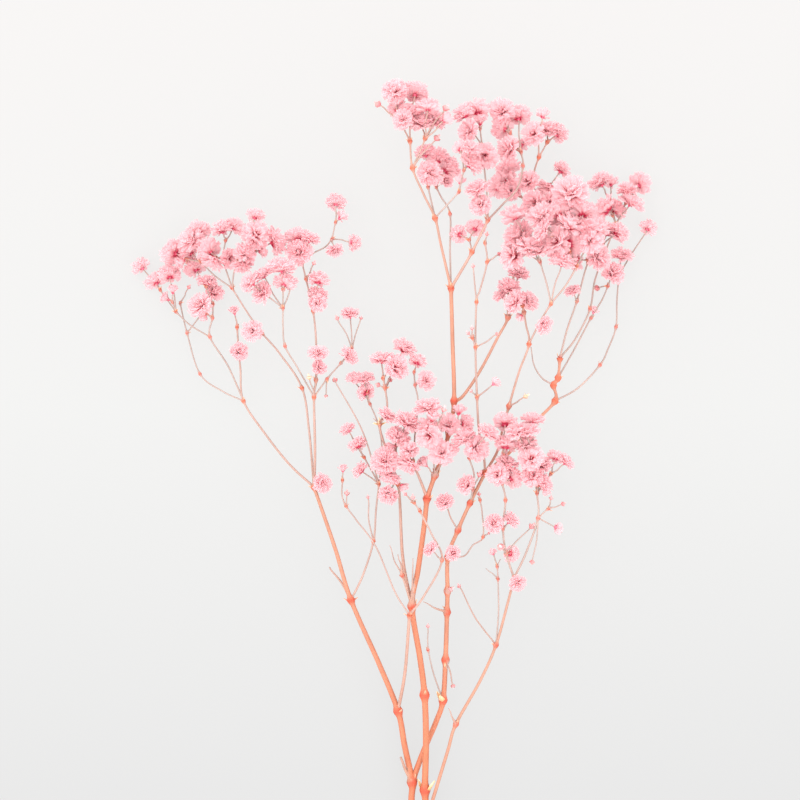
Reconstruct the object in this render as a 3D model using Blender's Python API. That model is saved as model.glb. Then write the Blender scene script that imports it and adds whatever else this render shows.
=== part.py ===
"""A cut stem of double-flowered gypsophila, lying on a flat surface.

The stem lies along Y with its flowers at +Y, and the side seen in the photo faces +Z.
Each limb of the plant is one closed solid: the stalk, the swollen joints along it,
the thin stalks that leave it, and the flower heads and buds that they carry.
A limb starts just clear of the joint that it grows from.
"""

import math

import bmesh
import bpy
from mathutils import Vector

MM = 0.001

# Scale and place
MM_PER_PIXEL = 0.45
PHOTO_MIDDLE = 400
VIEW_HEIGHT = 1125
TRUE_SCALE_HEIGHT = 25
CENTRE_X = 2.7
CENTRE_Y = 58.3

# Stalks
CLEARANCE = 0.3
SIDE_CLEARANCE = 0.35
LONGEST_STUB = 9.0
KNOB_SWELL = 1.35
KNOB_EXTRA = 0.12
FLOWER_STALK = 0.27
BARE_TIP = 0.14
FORK_SHARE = 0.55
THIN_STALK = 0.45
THICK_STALK = 0.8

# Flower heads
HEAD_FLATTENING = 0.86
STALK_END_SHARE = 0.38
BALL_SWELL = 1.06
KEPT_SHARES = (0.55, 0.62, 0.7, 0.8, 0.9)

STEM_ORANGE = (0.86, 0.30, 0.17, 1.0)
SALMON = (0.90, 0.45, 0.32, 1.0)
PETAL_PINK = (0.96, 0.62, 0.66, 1.0)
PALE_PINK = (0.97, 0.74, 0.78, 1.0)

# The swollen joints: across and down in the photo in pixels, and height in mm
JOINTS = {
    "base_fork": (419, 872, 5),
    "low_fork": (412, 782, 9),
    "left_fork": (398, 711, 9),
    "left_trident": (351, 600, 14),
    "left_crown_fork": (314, 487, 19),
    "low_right_fork": (426.4, 826, 8.5),
    "right_fork": (425, 790, 11),
    "centre_knee": (424.5, 695, 16.5),
    "centre_fork": (412, 606, 21),
    "upper_fork": (427, 498, 29),
    "right_knee": (443, 700, 12),
    "hook_knee": (445.5, 660, 15.5),
    "bract_low_knee": (447, 612, 18.6),
    "bract_knee": (447.5, 591, 20),
    "right_trident": (448, 557, 22),
    "elbow_knee": (458, 530, 25),
    "elbow_fork": (470, 503, 28),
    "elbow_high_knee": (473, 489, 31),
    "orange_elbow": (485, 473, 30),
    "outer_knee": (456, 724, 17),
    "outer_fork": (496, 645, 22),
    "outer_inner_knee": (498, 579, 24),
    "outer_trident": (514, 578, 25),
    "inner_fork": (409.5, 615, 27),
    "inner_right_fork": (442, 560, 31),
    "bud_fork": (346, 506, 17),
    "left_right_fork": (373.5, 541, 17),
    "left_right_tip": (379, 484, 21),
    "left_outer_fork": (243.5, 401, 11),
    "left_mid_knee": (239, 353, 13),
    "left_low_knee": (200, 374, 7),
    "left_low_fork": (187, 333, 6),
    "left_outer_mid_fork": (210, 337, 13),
    "left_outer_mid_knee": (212.5, 318, 13),
    "left_centre_fork": (302, 388, 25),
    "left_centre_knee": (262, 333, 24),
    "left_far_fork": (232, 288, 22),
    "left_high_fork": (314, 397, 29),
    "left_pair_knee": (316, 380, 28),
    "left_tall_knee": (313, 311, 26),
    "left_tall_fork": (306, 279, 26),
    "left_tall_tip": (302, 263, 27),
    "left_side_low": (327, 379, 27),
    "left_side_knee": (341, 363, 25),
    "left_near_fork": (285, 346, 36),
    "left_near_tip": (283, 308, 40),
    "mid_left_fork": (398, 484, 23),
    "mid_left_knee": (391, 462, 25),
    "mid_left_tip": (380, 424, 28),
    "mid_high_fork": (385, 388, 27),
    "upper_left_tip": (413, 463, 34),
    "mid_high_knee": (415, 385, 27),
    "mid_centre_knee": (435, 475, 30.5),
    "crown_low_fork": (449, 432, 30),
    "crown_fork": (454, 401, 30),
    "crown_trident": (451, 288, 32),
    "trident_knee": (483, 537, 24),
    "crown_left_fork": (435, 218, 35),
    "crown_left_knee": (412.5, 168, 37),
    "crown_middle_fork": (450, 214, 24),
    "crown_right_knee": (472, 252, 34),
    "crown_right_fork": (488, 220, 36),
    "crown_high_knee": (523, 166, 26),
    "crown_long_fork": (508, 317, 22),
    "crown_long_mid": (520, 250, 14),
    "crown_long_upper": (530, 205, 14),
    "slim_fork": (477, 397, 35),
    "slim_upper_fork": (475.5, 347, 36),
    "slim_top_fork": (476.5, 302, 36),
    "slim_tip": (487, 262, 35),
    "third_fork": (509, 406, 30),
    "third_top_fork": (529, 344, 34),
    "third_bend": (540, 322, 37),
    "third_right_fork": (551, 304, 40),
    "third_right_top": (577, 266, 45),
    "right_branch_fork": (555, 401, 14),
    "right_branch_elbow": (553.5, 385, 14),
    "right_branch_knee": (558, 378, 14.5),
    "right_branch_top": (560, 358, 15),
    "right_inner_knee": (577, 301, 20),
    "right_mid_knee": (590, 309, 10),
    "right_low_knee": (591, 318, 6),
    "right_outer_knee": (600, 365, 9),
    "right_outer_high_knee": (616, 327, 7),
    "lower_inner_low": (506, 553, 28),
    "lower_inner_mid": (503, 528, 31),
    "lower_inner_high": (505.5, 500, 34),
    "lower_outer_fork": (538, 518, 30),
}

LIMBS = {}


def limb(name, colour, thickness, path, sprays=()):
    """Note one limb.

    The thickness is the radius in mm at its start and its end. The path starts at a joint
    of another limb. A spray leaves a joint, or the end of the path, and each flower in it is
    across, down, height, size in mm, and how far it turns from its stalk to face up.
    A flower of size 0 is a bare tip.
    """
    LIMBS[name] = {"colour": colour, "thickness": thickness, "path": path, "sprays": sprays}


# Main stem and the three stems that part from it
limb("main_stem", STEM_ORANGE, (1.6, 1.45), [(420, 962, 1.6), (420, 910, 3), "base_fork"])
limb("left_stem", STEM_ORANGE, (1.4, 0.62),
     ["base_fork", (413, 830, 7), (411.5, 800, 8), "low_fork", (404.5, 745, 8), "left_fork",
      (380, 666, 11), "left_trident", (335, 548, 16), "left_crown_fork"],
     [("low_fork", [(401, 758, 11, 0, 0)]),
      ("left_trident", [(330, 568, 11, 0, 0)]),
      ("left_crown_fork", [(323, 483, 23, 7.8, 0.3)])])
limb("centre_stem", STEM_ORANGE, (1.35, 0.95),
     ["base_fork", "low_right_fork", "right_fork", (426, 740, 14), "centre_knee", (420, 658, 18),
      "centre_fork", (418, 570, 25), (424, 527, 27), "upper_fork"],
     [("centre_fork", [(390, 546, 27, 0, 0), (398, 555, 29, 0, 0)]),
      ("centre_fork", [(413, 559, 31, 0, 0)])])
limb("right_stem", STEM_ORANGE, (1.15, 0.6),
     ["low_fork", (424, 750, 7.5), (436, 722, 10), "right_knee", "hook_knee", "bract_low_knee",
      "bract_knee", "right_trident", "elbow_knee", "elbow_fork", (479, 485, 29), "orange_elbow"],
     [("hook_knee", [(453, 686, 14, 2.6, 0)]),
      ("bract_low_knee", [(424, 602, 22, 0, 0)]),
      ("bract_knee", [(451, 589, 21, 3.2, 0)]),
      ("right_trident", [(453, 553, 29, 6.4, 0.5)]),
      ("elbow_knee", [(444, 501, 30, 8, 0.3)])])
limb("far_right_branch", STEM_ORANGE, (0.68, 0.45),
     ["low_right_fork", (431, 806, 11), (437, 786, 13.5), (448, 750, 16), "outer_knee",
      (480, 681, 20), "outer_fork", (508, 602, 24), "outer_trident"],
     [("outer_knee", [(449, 709, 20, 0, 0)]),
      ("outer_fork", [(459, 586, 18, 2.6, 0)]),
      ("outer_trident", [(518, 584, 30, 7.2, 0)])])

limb("low_twig_sprig", PALE_PINK, (0.25, 0.2),
     ["right_knee", (434, 675, 15), (428, 650, 19)],
     [("end", [(428, 626, 20, 2.4, 0)])])
limb("outer_inner_sprig", PALE_PINK, (0.26, 0.22),
     ["outer_fork", (498.5, 612, 23), "outer_inner_knee"],
     [("outer_inner_knee", [(486.5, 569, 22, 0, 0)]),
      ("outer_inner_knee", [(493, 553, 22, 4.6, 0), (500, 560, 23, 0, 0)])])

# Limbs of the left stem
limb("inner_left_branch", SALMON, (0.62, 0.55), ["left_fork", (405, 672, 17), "inner_fork"])
limb("inner_right_sprig", SALMON, (0.4, 0.28),
     ["inner_fork", (424, 596, 29), "inner_right_fork", (431, 533, 34), (420, 511, 36)],
     [("inner_right_fork", [(430, 548, 36, 6.4, 0.1)]),
      ("end", [(413, 497, 37, 3, 0), (405, 494, 36, 2.6, 0)])])
limb("inner_left_long_sprig", SALMON, (0.28, 0.22),
     ["inner_fork", (395, 592, 25), (376, 547, 22), (357, 521, 19), "bud_fork", (342, 495, 17),
      (342.5, 480, 17)],
     [("bud_fork", [(347, 493, 18, 3.2, 0)]),
      ("end", [(343, 469, 17, 4.6, 0)])])
limb("left_right_sprig", SALMON, (0.38, 0.28),
     ["left_trident", (363, 575, 15), "left_right_fork", (376, 510, 19), "left_right_tip"],
     [("left_right_fork", [(368, 497, 20, 2.2, 0)]),
      ("left_right_tip", [(357, 443, 24, 7, 0.1), (347, 428, 22, 6.4, 0.1)]),
      ("left_right_tip", [(359, 469, 22, 6.4, 0.2)]),
      ("left_right_tip", [(335, 380, 26, 3, 0)])])
limb("mid_far_left_sprig", PALE_PINK, (0.26, 0.22),
     ["left_right_tip", (382, 450, 19), (378, 424, 17), (370, 404, 15)],
     [("end", [(365, 391, 15, 7.2, 0.2), (363, 377, 19, 7.2, 0.1)]),
      ("end", [(353, 379, 12, 6.2, 0)])])

# Limbs at the left crown, outer side first
limb("left_outer_branch", SALMON, (0.42, 0.3),
     ["left_crown_fork", (290, 465, 17), (266, 435, 14), "left_outer_fork", (240.5, 370, 13),
      "left_mid_knee", (237, 327, 15)],
     [("left_mid_knee", [(239.5, 351, 18, 7.2, 0)]),
      ("end", [(234, 311, 16, 5.6, 0.3)])])
limb("left_outer_low_sprig", PALE_PINK, (0.25, 0.22),
     ["left_outer_fork", (222, 391, 9), "left_low_knee", "left_low_fork", (180, 303, 6)],
     [("end", [(189, 287, 7, 2.6, 0)]),
      ("left_low_fork", [(215, 291, 8, 7.2, 0.4)])])
limb("left_outer_mid_sprig", PETAL_PINK, (0.3, 0.25),
     ["left_outer_fork", (228, 366, 12), "left_outer_mid_fork", "left_outer_mid_knee",
      (213, 304, 13)],
     [("left_outer_mid_knee", [(199, 304, 16, 9, 0.4), (204, 315, 12, 5.6, 0.2)]),
      ("end", [(207, 280, 12, 6.8, 0.1), (194, 266, 9.5, 8, 0.1)])])
limb("left_far_sprig", PETAL_PINK, (0.25, 0.22),
     ["left_outer_mid_fork", (190, 325, 11), (176, 312, 9)],
     [("end", [(166, 298, 8, 5.4, 0.3), (173, 290, 12, 5.4, 0.1)]),
      ("end", [(155, 280, 3.9, 7.6, 0.1), (140, 265, 3.7, 7.2, 0.1)]),
      ("end", [(169, 273, 9, 7.6, 0.1)])])
limb("left_centre_branch", SALMON, (0.42, 0.26),
     ["left_crown_fork", (309, 430, 22), "left_centre_fork", (280, 354, 24), "left_centre_knee",
      (247, 312, 23), "left_far_fork"],
     [("left_centre_knee", [(251.5, 331, 29, 7.8, 0.6)])])
limb("left_top_right_sprig", PETAL_PINK, (0.26, 0.22),
     ["left_far_fork", (234, 272, 27), (238, 258, 30)],
     [("end", [(257, 234, 34, 9.6, 0.5), (256, 214, 30, 7.2, 0.1)]),
      ("end", [(277, 240, 28, 9, 0.2), (262, 252, 31, 5, 0)]),
      ("end", [(246, 252, 36, 7.6, 0.1), (242, 267, 33, 7, 0.1)])])
limb("left_top_middle_sprig", PETAL_PINK, (0.26, 0.22),
     ["left_far_fork", (226, 270, 22), (222, 258, 22)],
     [("end", [(221, 227, 24, 8.2, 0.1), (236, 225, 20, 7.2, 0)]),
      ("end", [(231, 259, 24, 7.2, 0.4)]),
      ("end", [(208.5, 250, 20.5, 8, 0), (212, 263, 24, 8, 0.1)])])
limb("left_top_left_sprig", PETAL_PINK, (0.26, 0.22),
     ["left_far_fork", (215, 276, 18), (201, 262, 17)],
     [("end", [(199, 229, 15, 7.6, 0.1), (190, 239, 19, 9, 0.4)]),
      ("end", [(188, 251, 14, 6.8, 0.1)]),
      ("end", [(172, 252, 11, 9, 0.2), (181, 262, 16, 5.8, 0)])])
limb("left_high_branch", SALMON, (0.5, 0.25),
     ["left_crown_fork", (315, 450, 24), "left_high_fork", "left_pair_knee", (316, 340, 27),
      "left_tall_knee", "left_tall_fork", "left_tall_tip"],
     [("left_high_fork", [(309, 377, 33, 3.2, 0)]),
      ("left_pair_knee", [(318, 352, 33, 7.6, 0.3), (320, 367, 31, 6.4, 0.3)]),
      ("left_tall_knee", [(318, 303, 30, 7.2, 0.5), (318, 294, 26, 7.4, 0.1),
                          (319, 278, 28, 7.6, 0)]),
      ("left_tall_fork", [(314, 263, 27, 2.6, 0)]),
      ("end", [(299, 252, 30, 8.6, 0.2), (297, 236, 26, 8.6, 0.1)]),
      ("end", [(311, 237, 30, 7.2, 0)])])
limb("left_arc_sprig", PALE_PINK, (0.28, 0.22),
     ["left_tall_tip", (312, 254, 24), (325, 247, 21), (332, 239, 19)],
     [("end", [(341, 217, 16, 6.2, 0.1), (336, 201, 14, 7.6, 0)]),
      ("end", [(335, 251, 22, 6.8, 0.2)]),
      ("end", [(355, 243, 16, 6.8, 0.1)])])
limb("left_side_sprig", PALE_PINK, (0.28, 0.22),
     ["left_high_fork", "left_side_low", "left_side_knee", (352, 349, 23)],
     [("left_side_low", [(326, 396, 24, 2.2, 0)]),
      ("left_side_knee", [(350, 355, 29, 7.6, 0.2)]),
      ("end", [(350, 312, 20, 7.6, 0.3)]),
      ("end", [(337, 318, 20, 3, 0)]),
      ("end", [(361, 318, 19, 2.2, 0)])])
limb("left_near_sprig", PETAL_PINK, (0.28, 0.24),
     ["left_high_fork", (297, 367, 33), "left_near_fork", (283, 325, 38), "left_near_tip"],
     [("left_near_tip", [(281, 265, 44, 9, 0.2), (285, 281, 41, 7.2, 0.1)]),
      ("left_near_tip", [(293, 283, 38, 4.6, 0)]),
      ("left_near_tip", [(261, 292, 42, 8.2, 0.4), (249, 281, 44, 8, 0.1)]),
      ("left_near_tip", [(262, 273, 40, 6.8, 0.1)])])

# Limbs of the centre stem
limb("centre_left_branch", SALMON, (0.66, 0.3),
     ["centre_fork", (403, 560, 21), (400, 505, 22), "mid_left_fork", "mid_left_knee",
      (383, 440, 27), "mid_left_tip", (387, 408, 27), "mid_high_fork", (383, 378, 27)],
     [("mid_left_tip", [(388, 414, 32, 7.2, 0.1)]),
      ("mid_left_tip", [(374, 419, 28, 0, 0)]),
      ("mid_high_fork", [(405, 346, 24, 8.8, 0.3)]),
      ("mid_high_fork", [(390, 380, 23, 2.8, 0)]),
      ("mid_high_fork", [(378, 385, 26, 3, 0)]),
      ("end", [(381, 357, 28, 7.8, 0.1)]),
      ("end", [(397, 366, 32, 9.4, 0.3)])])
limb("mid_left_low_sprig", PETAL_PINK, (0.26, 0.24),
     ["mid_left_fork", (396, 478, 28)],
     [("end", [(388, 496, 30, 7.8, 0.4)]),
      ("end", [(389, 478, 33, 7.6, 0.1), (384, 460, 36, 9.4, 0.6)]),
      ("end", [(403, 486, 29, 4.6, 0)])])
limb("mid_left_high_sprig", PETAL_PINK, (0.26, 0.24),
     ["mid_left_knee", (395, 452, 30)],
     [("end", [(392, 447, 33, 5.6, 0), (399, 435, 35, 8.2, 0.1)]),
      ("end", [(407, 420, 36, 8.6, 0.1)])])
limb("upper_left_sprig", SALMON, (0.6, 0.35),
     ["upper_fork", (421, 482, 31), "upper_left_tip"],
     [("end", [(407, 466, 38, 8.2, 0.2), (409, 449, 40, 6.4, 0.2)])])
limb("mid_high_sprig", PALE_PINK, (0.28, 0.22),
     ["upper_left_tip", (415, 435, 31), (418, 402, 28), "mid_high_knee", (414, 372, 27)],
     [("mid_high_knee", [(427, 380, 30, 7, 0.5)]),
      ("end", [(418, 360, 27, 6.4, 0.1)])])
limb("crown_stem", STEM_ORANGE, (0.85, 0.7),
     ["upper_fork", "mid_centre_knee", (442, 457, 31), "crown_low_fork", "crown_fork",
      (452.5, 340, 31), "crown_trident"],
     [("mid_centre_knee", [(424, 463, 36, 6, 0.1)]),
      ("mid_centre_knee", [(442, 452, 40, 8.6, 0.4), (453, 450, 37, 5.2, 0)]),
      ("crown_low_fork", [(449, 423, 37, 7.2, 0.2)]),
      ("crown_low_fork", [(459, 411, 35, 6, 0), (467, 424, 34, 6.4, 0)])])
limb("mid_centre_sprig", PETAL_PINK, (0.28, 0.24),
     ["mid_centre_knee", (433, 455, 36), (432, 442, 38)],
     [("end", [(428, 437, 41, 8, 0), (427, 424, 38, 7.8, 0.1)]),
      ("end", [(433, 417, 43, 6.2, 0), (427, 405, 40, 8.6, 0.3)]),
      ("end", [(444, 409, 42, 3.6, 0)])])

# Limbs at the top of the crown
limb("crown_left_sprig", SALMON, (0.5, 0.3),
     ["crown_trident", (441, 245, 33), "crown_left_fork", (424, 195, 36), "crown_left_knee",
      (410, 141, 38)],
     [("end", [(395, 90, 40, 9, 0.7), (397, 107, 33, 6.8, 0), (378, 104, 36, 4, 0)]),
      ("end", [(416, 91, 34, 8.6, 0.1), (402, 119, 43, 7.2, 0.3), (411, 111, 36, 8, 0.2)]),
      ("crown_left_knee", [(428, 105, 42, 7.2, 0), (421, 121, 38, 8, 0.3),
                           (436, 118, 34, 8, 0.5), (446, 108, 40, 4.2, 0),
                           (446, 119, 41, 5.6, 0)]),
      ("crown_left_knee", [(437, 138, 36, 4, 0)])])
limb("crown_left_inner_sprig", PETAL_PINK, (0.3, 0.26),
     ["crown_left_fork", (431, 200, 33), (428, 187, 32)],
     [("end", [(425, 151, 30, 8.2, 0), (431, 173, 34, 8.2, 0.3)])])
limb("crown_middle_sprig", PETAL_PINK, (0.32, 0.26),
     ["crown_trident", (450, 250, 27), "crown_middle_fork", (441, 197, 22), (436, 187, 22)],
     [("end", [(437, 157, 20, 8.2, 0.1), (449, 167, 18, 8.6, 0.2), (446, 181, 25, 5.8, 0.4)])])
limb("crown_arch_sprig", PALE_PINK, (0.28, 0.24),
     ["crown_left_fork", (447, 205, 39), (459, 192, 41)],
     [("end", [(460, 181, 40, 5, 0)]),
      ("end", [(472, 162, 42, 7.8, 0.1), (460, 148, 38, 6, 0), (472, 147, 46, 7.6, 0)])])
limb("crown_right_branch", SALMON, (0.55, 0.4),
     ["crown_trident", (460, 273, 33), "crown_right_knee", "crown_right_fork"],
     [("crown_right_knee", [(458, 234, 25, 7, 0), (476, 227, 24, 7.2, 0.2)]),
      ("crown_right_fork", [(480, 204, 42, 7.6, 0.4), (477, 187, 44, 8.2, 0.1)])])
limb("crown_top_left_sprig", PALE_PINK, (0.3, 0.24),
     ["crown_right_fork", (487, 195, 31), (484, 165, 30), (482, 145, 30)],
     [("end", [(463, 112, 33, 7.8, 0), (467, 130, 36, 7.2, 0.1)]),
      ("end", [(477, 108, 28, 8.6, 0.1), (480, 121, 33, 6, 0)]),
      ("end", [(485, 157, 36, 8.2, 0.4)])])
limb("crown_high_sprig", PALE_PINK, (0.35, 0.28),
     ["crown_right_fork", (503, 204, 33), (517, 189, 28), "crown_high_knee", (521, 152, 26)],
     [("end", [(502, 109, 28, 9, 0.5), (501, 127, 24, 8.2, 0)]),
      ("end", [(518, 114, 22, 8.8, 0.2)]),
      ("end", [(507, 149, 30, 9, 0.2), (522, 145, 20, 5.6, 0)])])
limb("crown_long_branch", SALMON, (0.6, 0.3),
     ["crown_fork", (463, 396, 27), (480, 371, 26), (498, 337, 24), "crown_long_fork",
      (512, 285, 17), "crown_long_mid", "crown_long_upper", (534, 173, 18), (539, 157, 20)],
     [("crown_long_fork", [(500, 294, 28, 6.4, 0.2), (510, 285, 30, 8, 0.2)]),
      ("crown_long_fork", [(519, 272, 27, 8, 0.1)]),
      ("end", [(543, 115, 24, 6, 0), (533, 133, 26, 8.2, 0.5)]),
      ("end", [(548, 128, 20, 8.2, 0.3), (560, 132, 18, 8, 0)])])
limb("crown_long_left_sprig", PETAL_PINK, (0.28, 0.24),
     ["crown_long_upper", (520, 196, 12)],
     [("end", [(508, 167, 10, 8.2, 0), (504, 180, 14, 8.2, 0.3)]),
      ("end", [(497, 187, 3.7, 7.4, 0), (511, 190, 17, 6.6, 0.2)])])
limb("crown_long_right_sprig", PETAL_PINK, (0.28, 0.24),
     ["crown_long_upper", (540, 198, 12)],
     [("end", [(527, 180, 25, 7.6, 0.1)]),
      ("end", [(547, 190, 12, 8.2, 0), (563, 168, 12, 7.6, 0.1)]),
      ("end", [(533, 203, 29, 8, 0.2), (553, 202, 26, 7.6, 0.1)])])

# Limbs of the right stem, from its orange elbow
limb("slim_branch", SALMON, (0.42, 0.26),
     ["orange_elbow", (484, 458, 32), (479, 430, 34), "slim_fork", "slim_upper_fork",
      "slim_top_fork", (480, 290, 36), "slim_tip", (485, 243, 34)],
     [("slim_fork", [(495, 383, 37, 5.8, 0)]),
      ("slim_fork", [(471, 391, 36, 2, 0)]),
      ("slim_upper_fork", [(468, 333, 37, 2.4, 0), (472, 328, 38, 2.4, 0)]),
      ("slim_upper_fork", [(497, 334, 38, 2.2, 0)]),
      ("slim_top_fork", [(473, 266, 37, 2.4, 0)]),
      ("slim_tip", [(499, 254, 33, 2.4, 0)]),
      ("end", [(487, 234, 35, 2.6, 0)])])
limb("third_branch", SALMON, (0.5, 0.3),
     ["orange_elbow", (497, 452, 27), (502, 432, 28), "third_fork", (519, 372, 32),
      "third_top_fork", (526, 325, 33), (524, 312, 32)],
     [("third_fork", [(526, 396, 33, 3.4, 0)]),
      ("end", [(530, 300, 34, 7.6, 0.4), (513, 301, 37, 7.6, 0.1)]),
      ("end", [(521, 316, 30, 4.6, 0)])])
limb("third_right_branch", SALMON, (0.32, 0.28),
     ["third_top_fork", "third_bend", "third_right_fork", (566, 285, 43), "third_right_top"],
     [("third_bend", [(545, 326, 40, 6.6, 0)]),
      ("third_right_fork", [(563, 259, 46, 9, 0.1)])])
limb("crown_front_left_sprig", PETAL_PINK, (0.28, 0.24),
     ["third_right_fork", (547, 285, 41), (540, 262, 42)],
     [("end", [(537, 249, 46, 6.4, 0)]),
      ("end", [(511, 255, 40, 8.6, 0.5), (530, 244, 44, 8.2, 0.1)]),
      ("end", [(517, 234, 38, 9, 0.5), (513, 213, 40, 8.6, 0.1)])])
limb("crown_front_middle_sprig", PETAL_PINK, (0.28, 0.24),
     ["third_right_top", (570, 252, 46)],
     [("end", [(555, 241, 48, 8.6, 0.5), (571, 241, 44, 8.2, 0.1)]),
      ("end", [(541, 229, 50, 6.4, 0.2), (540, 214, 47, 7.8, 0.5)]),
      ("end", [(556, 212, 44, 8.2, 0), (572, 222, 49, 8.6, 0.2)])])
limb("crown_front_right_sprig", PETAL_PINK, (0.28, 0.24),
     ["third_right_top", (585, 250, 47)],
     [("end", [(592, 241, 50, 7.6, 0.3), (593, 226, 46, 8.6, 0.1)]),
      ("end", [(584, 211, 44, 8.2, 0.1), (570, 190, 46, 10, 0.5)])])
limb("right_branch", SALMON, (0.62, 0.5),
     ["orange_elbow", (510, 452, 22), (532, 425, 18), "right_branch_fork",
      "right_branch_elbow", "right_branch_knee", "right_branch_top"])
limb("elbow_arc_sprig", PALE_PINK, (0.3, 0.16),
     ["right_branch_elbow", (542, 378, 15), (534, 365, 16), (531, 347, 17)])
limb("right_inner_sprig", PALE_PINK, (0.35, 0.28),
     ["right_branch_top", (567, 330, 17), "right_inner_knee", (584, 275, 24), (588, 262, 26)],
     [("right_inner_knee", [(572, 290, 24, 6.6, 0.1)]),
      ("end", [(600, 256, 32, 8.8, 0.2), (575, 260, 24, 6.6, 0.1)]),
      ("end", [(609, 229, 30, 8.2, 0.1), (620, 231, 33, 7.8, 0.1)])])
limb("right_mid_sprig", PALE_PINK, (0.35, 0.28),
     ["right_branch_top", (576, 338, 12), "right_mid_knee", (595, 280, 9), (606, 250, 10),
      (616, 225, 11)],
     [("end", [(599, 180, 10, 9, 0.1), (611, 183, 3, 5.8, 0)]),
      ("end", [(603, 207, 15, 9, 0), (617, 208, 12, 6.8, 0)]),
      ("end", [(641, 182, 8, 8.2, 0.1), (627, 188, 14, 6.8, 0)]),
      ("end", [(633, 200, 16, 9, 0.2)])])
limb("right_low_sprig", PALE_PINK, (0.3, 0.25),
     ["right_branch_knee", (574, 350, 9), "right_low_knee", (602, 300, 7), (608, 286, 9)],
     [("right_low_knee", [(594, 311, 5.5, 5, 0)]),
      ("end", [(614, 272, 13, 9, 0.3)]),
      ("end", [(597, 288, 5.5, 3.6, 0)])])
limb("right_outer_sprig", PALE_PINK, (0.32, 0.25),
     ["right_branch_fork", (578, 388, 12), "right_outer_knee", (608, 349, 8),
      "right_outer_high_knee", (617, 300, 6), (619, 275, 5)],
     [("end", [(622, 254, 4.2, 8.2, 0.3)]),
      ("end", [(649, 227, 4, 7.4, 0)])])

# Limbs of the right stem, from its slender joints
limb("trident_right_sprig", SALMON, (0.25, 0.22),
     ["right_trident", (464, 556, 21), (473, 545, 22), "trident_knee", (482, 512, 27),
      (480, 500, 28)],
     [("trident_knee", [(489, 533, 24, 2, 0)]),
      ("end", [(479, 494, 28, 2.4, 0)])])
limb("elbow_sprig", PETAL_PINK, (0.3, 0.26),
     ["elbow_fork", "elbow_high_knee", (474, 474, 34), (469, 458, 37)],
     [("elbow_high_knee", [(465, 484, 35, 8.6, 0.2)]),
      ("elbow_high_knee", [(480, 474, 33, 3.8, 0)]),
      ("end", [(463, 436, 39, 8, 0.1), (478, 448, 41, 8.6, 0.3)]),
      ("end", [(489, 431, 43, 7, 0.2)])])

# Limbs of the far right branch
limb("lower_inner_sprig", PALE_PINK, (0.4, 0.3),
     ["outer_trident", "lower_inner_low", "lower_inner_mid", "lower_inner_high",
      (502, 483, 36)],
     [("lower_inner_low", [(501, 547, 32, 4.2, 0.3)]),
      ("lower_inner_low", [(512, 554, 24, 6.4, 0.1)]),
      ("lower_inner_low", [(532, 526, 26, 3.8, 0)]),
      ("lower_inner_mid", [(493.5, 523, 36, 7.8, 0.6)]),
      ("lower_inner_mid", [(512, 519, 33, 7.6, 0.2)]),
      ("end", [(497, 474, 40, 8.2, 0.4), (508, 461, 36, 7.2, 0.3)]),
      ("end", [(506, 443, 38, 7.4, 0), (505, 421, 36, 7.8, 0)]),
      ("end", [(514, 477, 33, 7.4, 0.1)])])
limb("lower_outer_sprig", PALE_PINK, (0.4, 0.3),
     ["outer_trident", (526, 553, 27), "lower_outer_fork", (537, 493, 33)],
     [("lower_outer_fork", [(563, 504, 31, 2.8, 0), (551, 498, 33, 2.4, 0)]),
      ("lower_outer_fork", [(557, 528, 25, 6.2, 0.1)]),
      ("lower_outer_fork", [(532, 562, 26, 3, 0)]),
      ("end", [(532, 475, 38, 7.4, 0.5), (545, 483, 34, 8.6, 0.2)]),
      ("end", [(531, 458, 42, 8.2, 0.4), (526, 443, 38, 7.4, 0.1)]),
      ("end", [(527, 430, 42, 7.8, 0), (533, 418, 37, 8.2, 0), (515, 430, 44, 7.2, 0.1)]),
      ("end", [(556, 456, 32, 6.4, 0), (568, 461, 34, 6.8, 0.1)]),
      ("end", [(542, 463, 34, 7, 0.3)])])


def seen(across, down, height):
    """The point in mm that is seen at this place in the photo, at this height."""
    spread = MM_PER_PIXEL * (VIEW_HEIGHT - height) / (VIEW_HEIGHT - TRUE_SCALE_HEIGHT)
    x = (across - PHOTO_MIDDLE) * spread + CENTRE_X
    y = (PHOTO_MIDDLE - down) * spread + CENTRE_Y
    return Vector((x, y, height))


def point(place):
    """The point in mm of a joint's name or of a place in the photo."""
    return seen(*JOINTS[place]) if isinstance(place, str) else seen(*place)


def path_points(name):
    return [point(place) for place in LIMBS[name]["path"]]


def own_joints(name):
    """The joints that belong to a limb: all on its path but the one that it starts from."""
    return [place for place in LIMBS[name]["path"][1:] if isinstance(place, str)]


def run_lengths(points):
    lengths = [0.0]
    for before, after in zip(points, points[1:]):
        lengths.append(lengths[-1] + (after - before).length)
    return lengths


def radius_at(name, place_index):
    start, end = LIMBS[name]["thickness"]
    lengths = run_lengths(path_points(name))
    return start + (end - start) * lengths[place_index] / lengths[-1]


def joint_radius(name, joint):
    return radius_at(name, LIMBS[name]["path"].index(joint))


def knob_radius(stalk_radius):
    return stalk_radius * KNOB_SWELL + KNOB_EXTRA


def children_of(joint):
    return [name for name, entry in LIMBS.items() if entry["path"][0] == joint]


def owner_of(joint):
    return next(name for name in LIMBS if joint in own_joints(name))


def cut_path(points, distance):
    """The part of a run of points up to a distance from its start, and the part after it."""
    before = [points[0]]
    for index, (here, there) in enumerate(zip(points, points[1:])):
        length = (there - here).length
        if distance < length:
            cut = here.lerp(there, distance / length)
            return before + [cut], [cut] + points[index + 1:]
        distance -= length
        before.append(there)
    return before, points[-1:]


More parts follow.
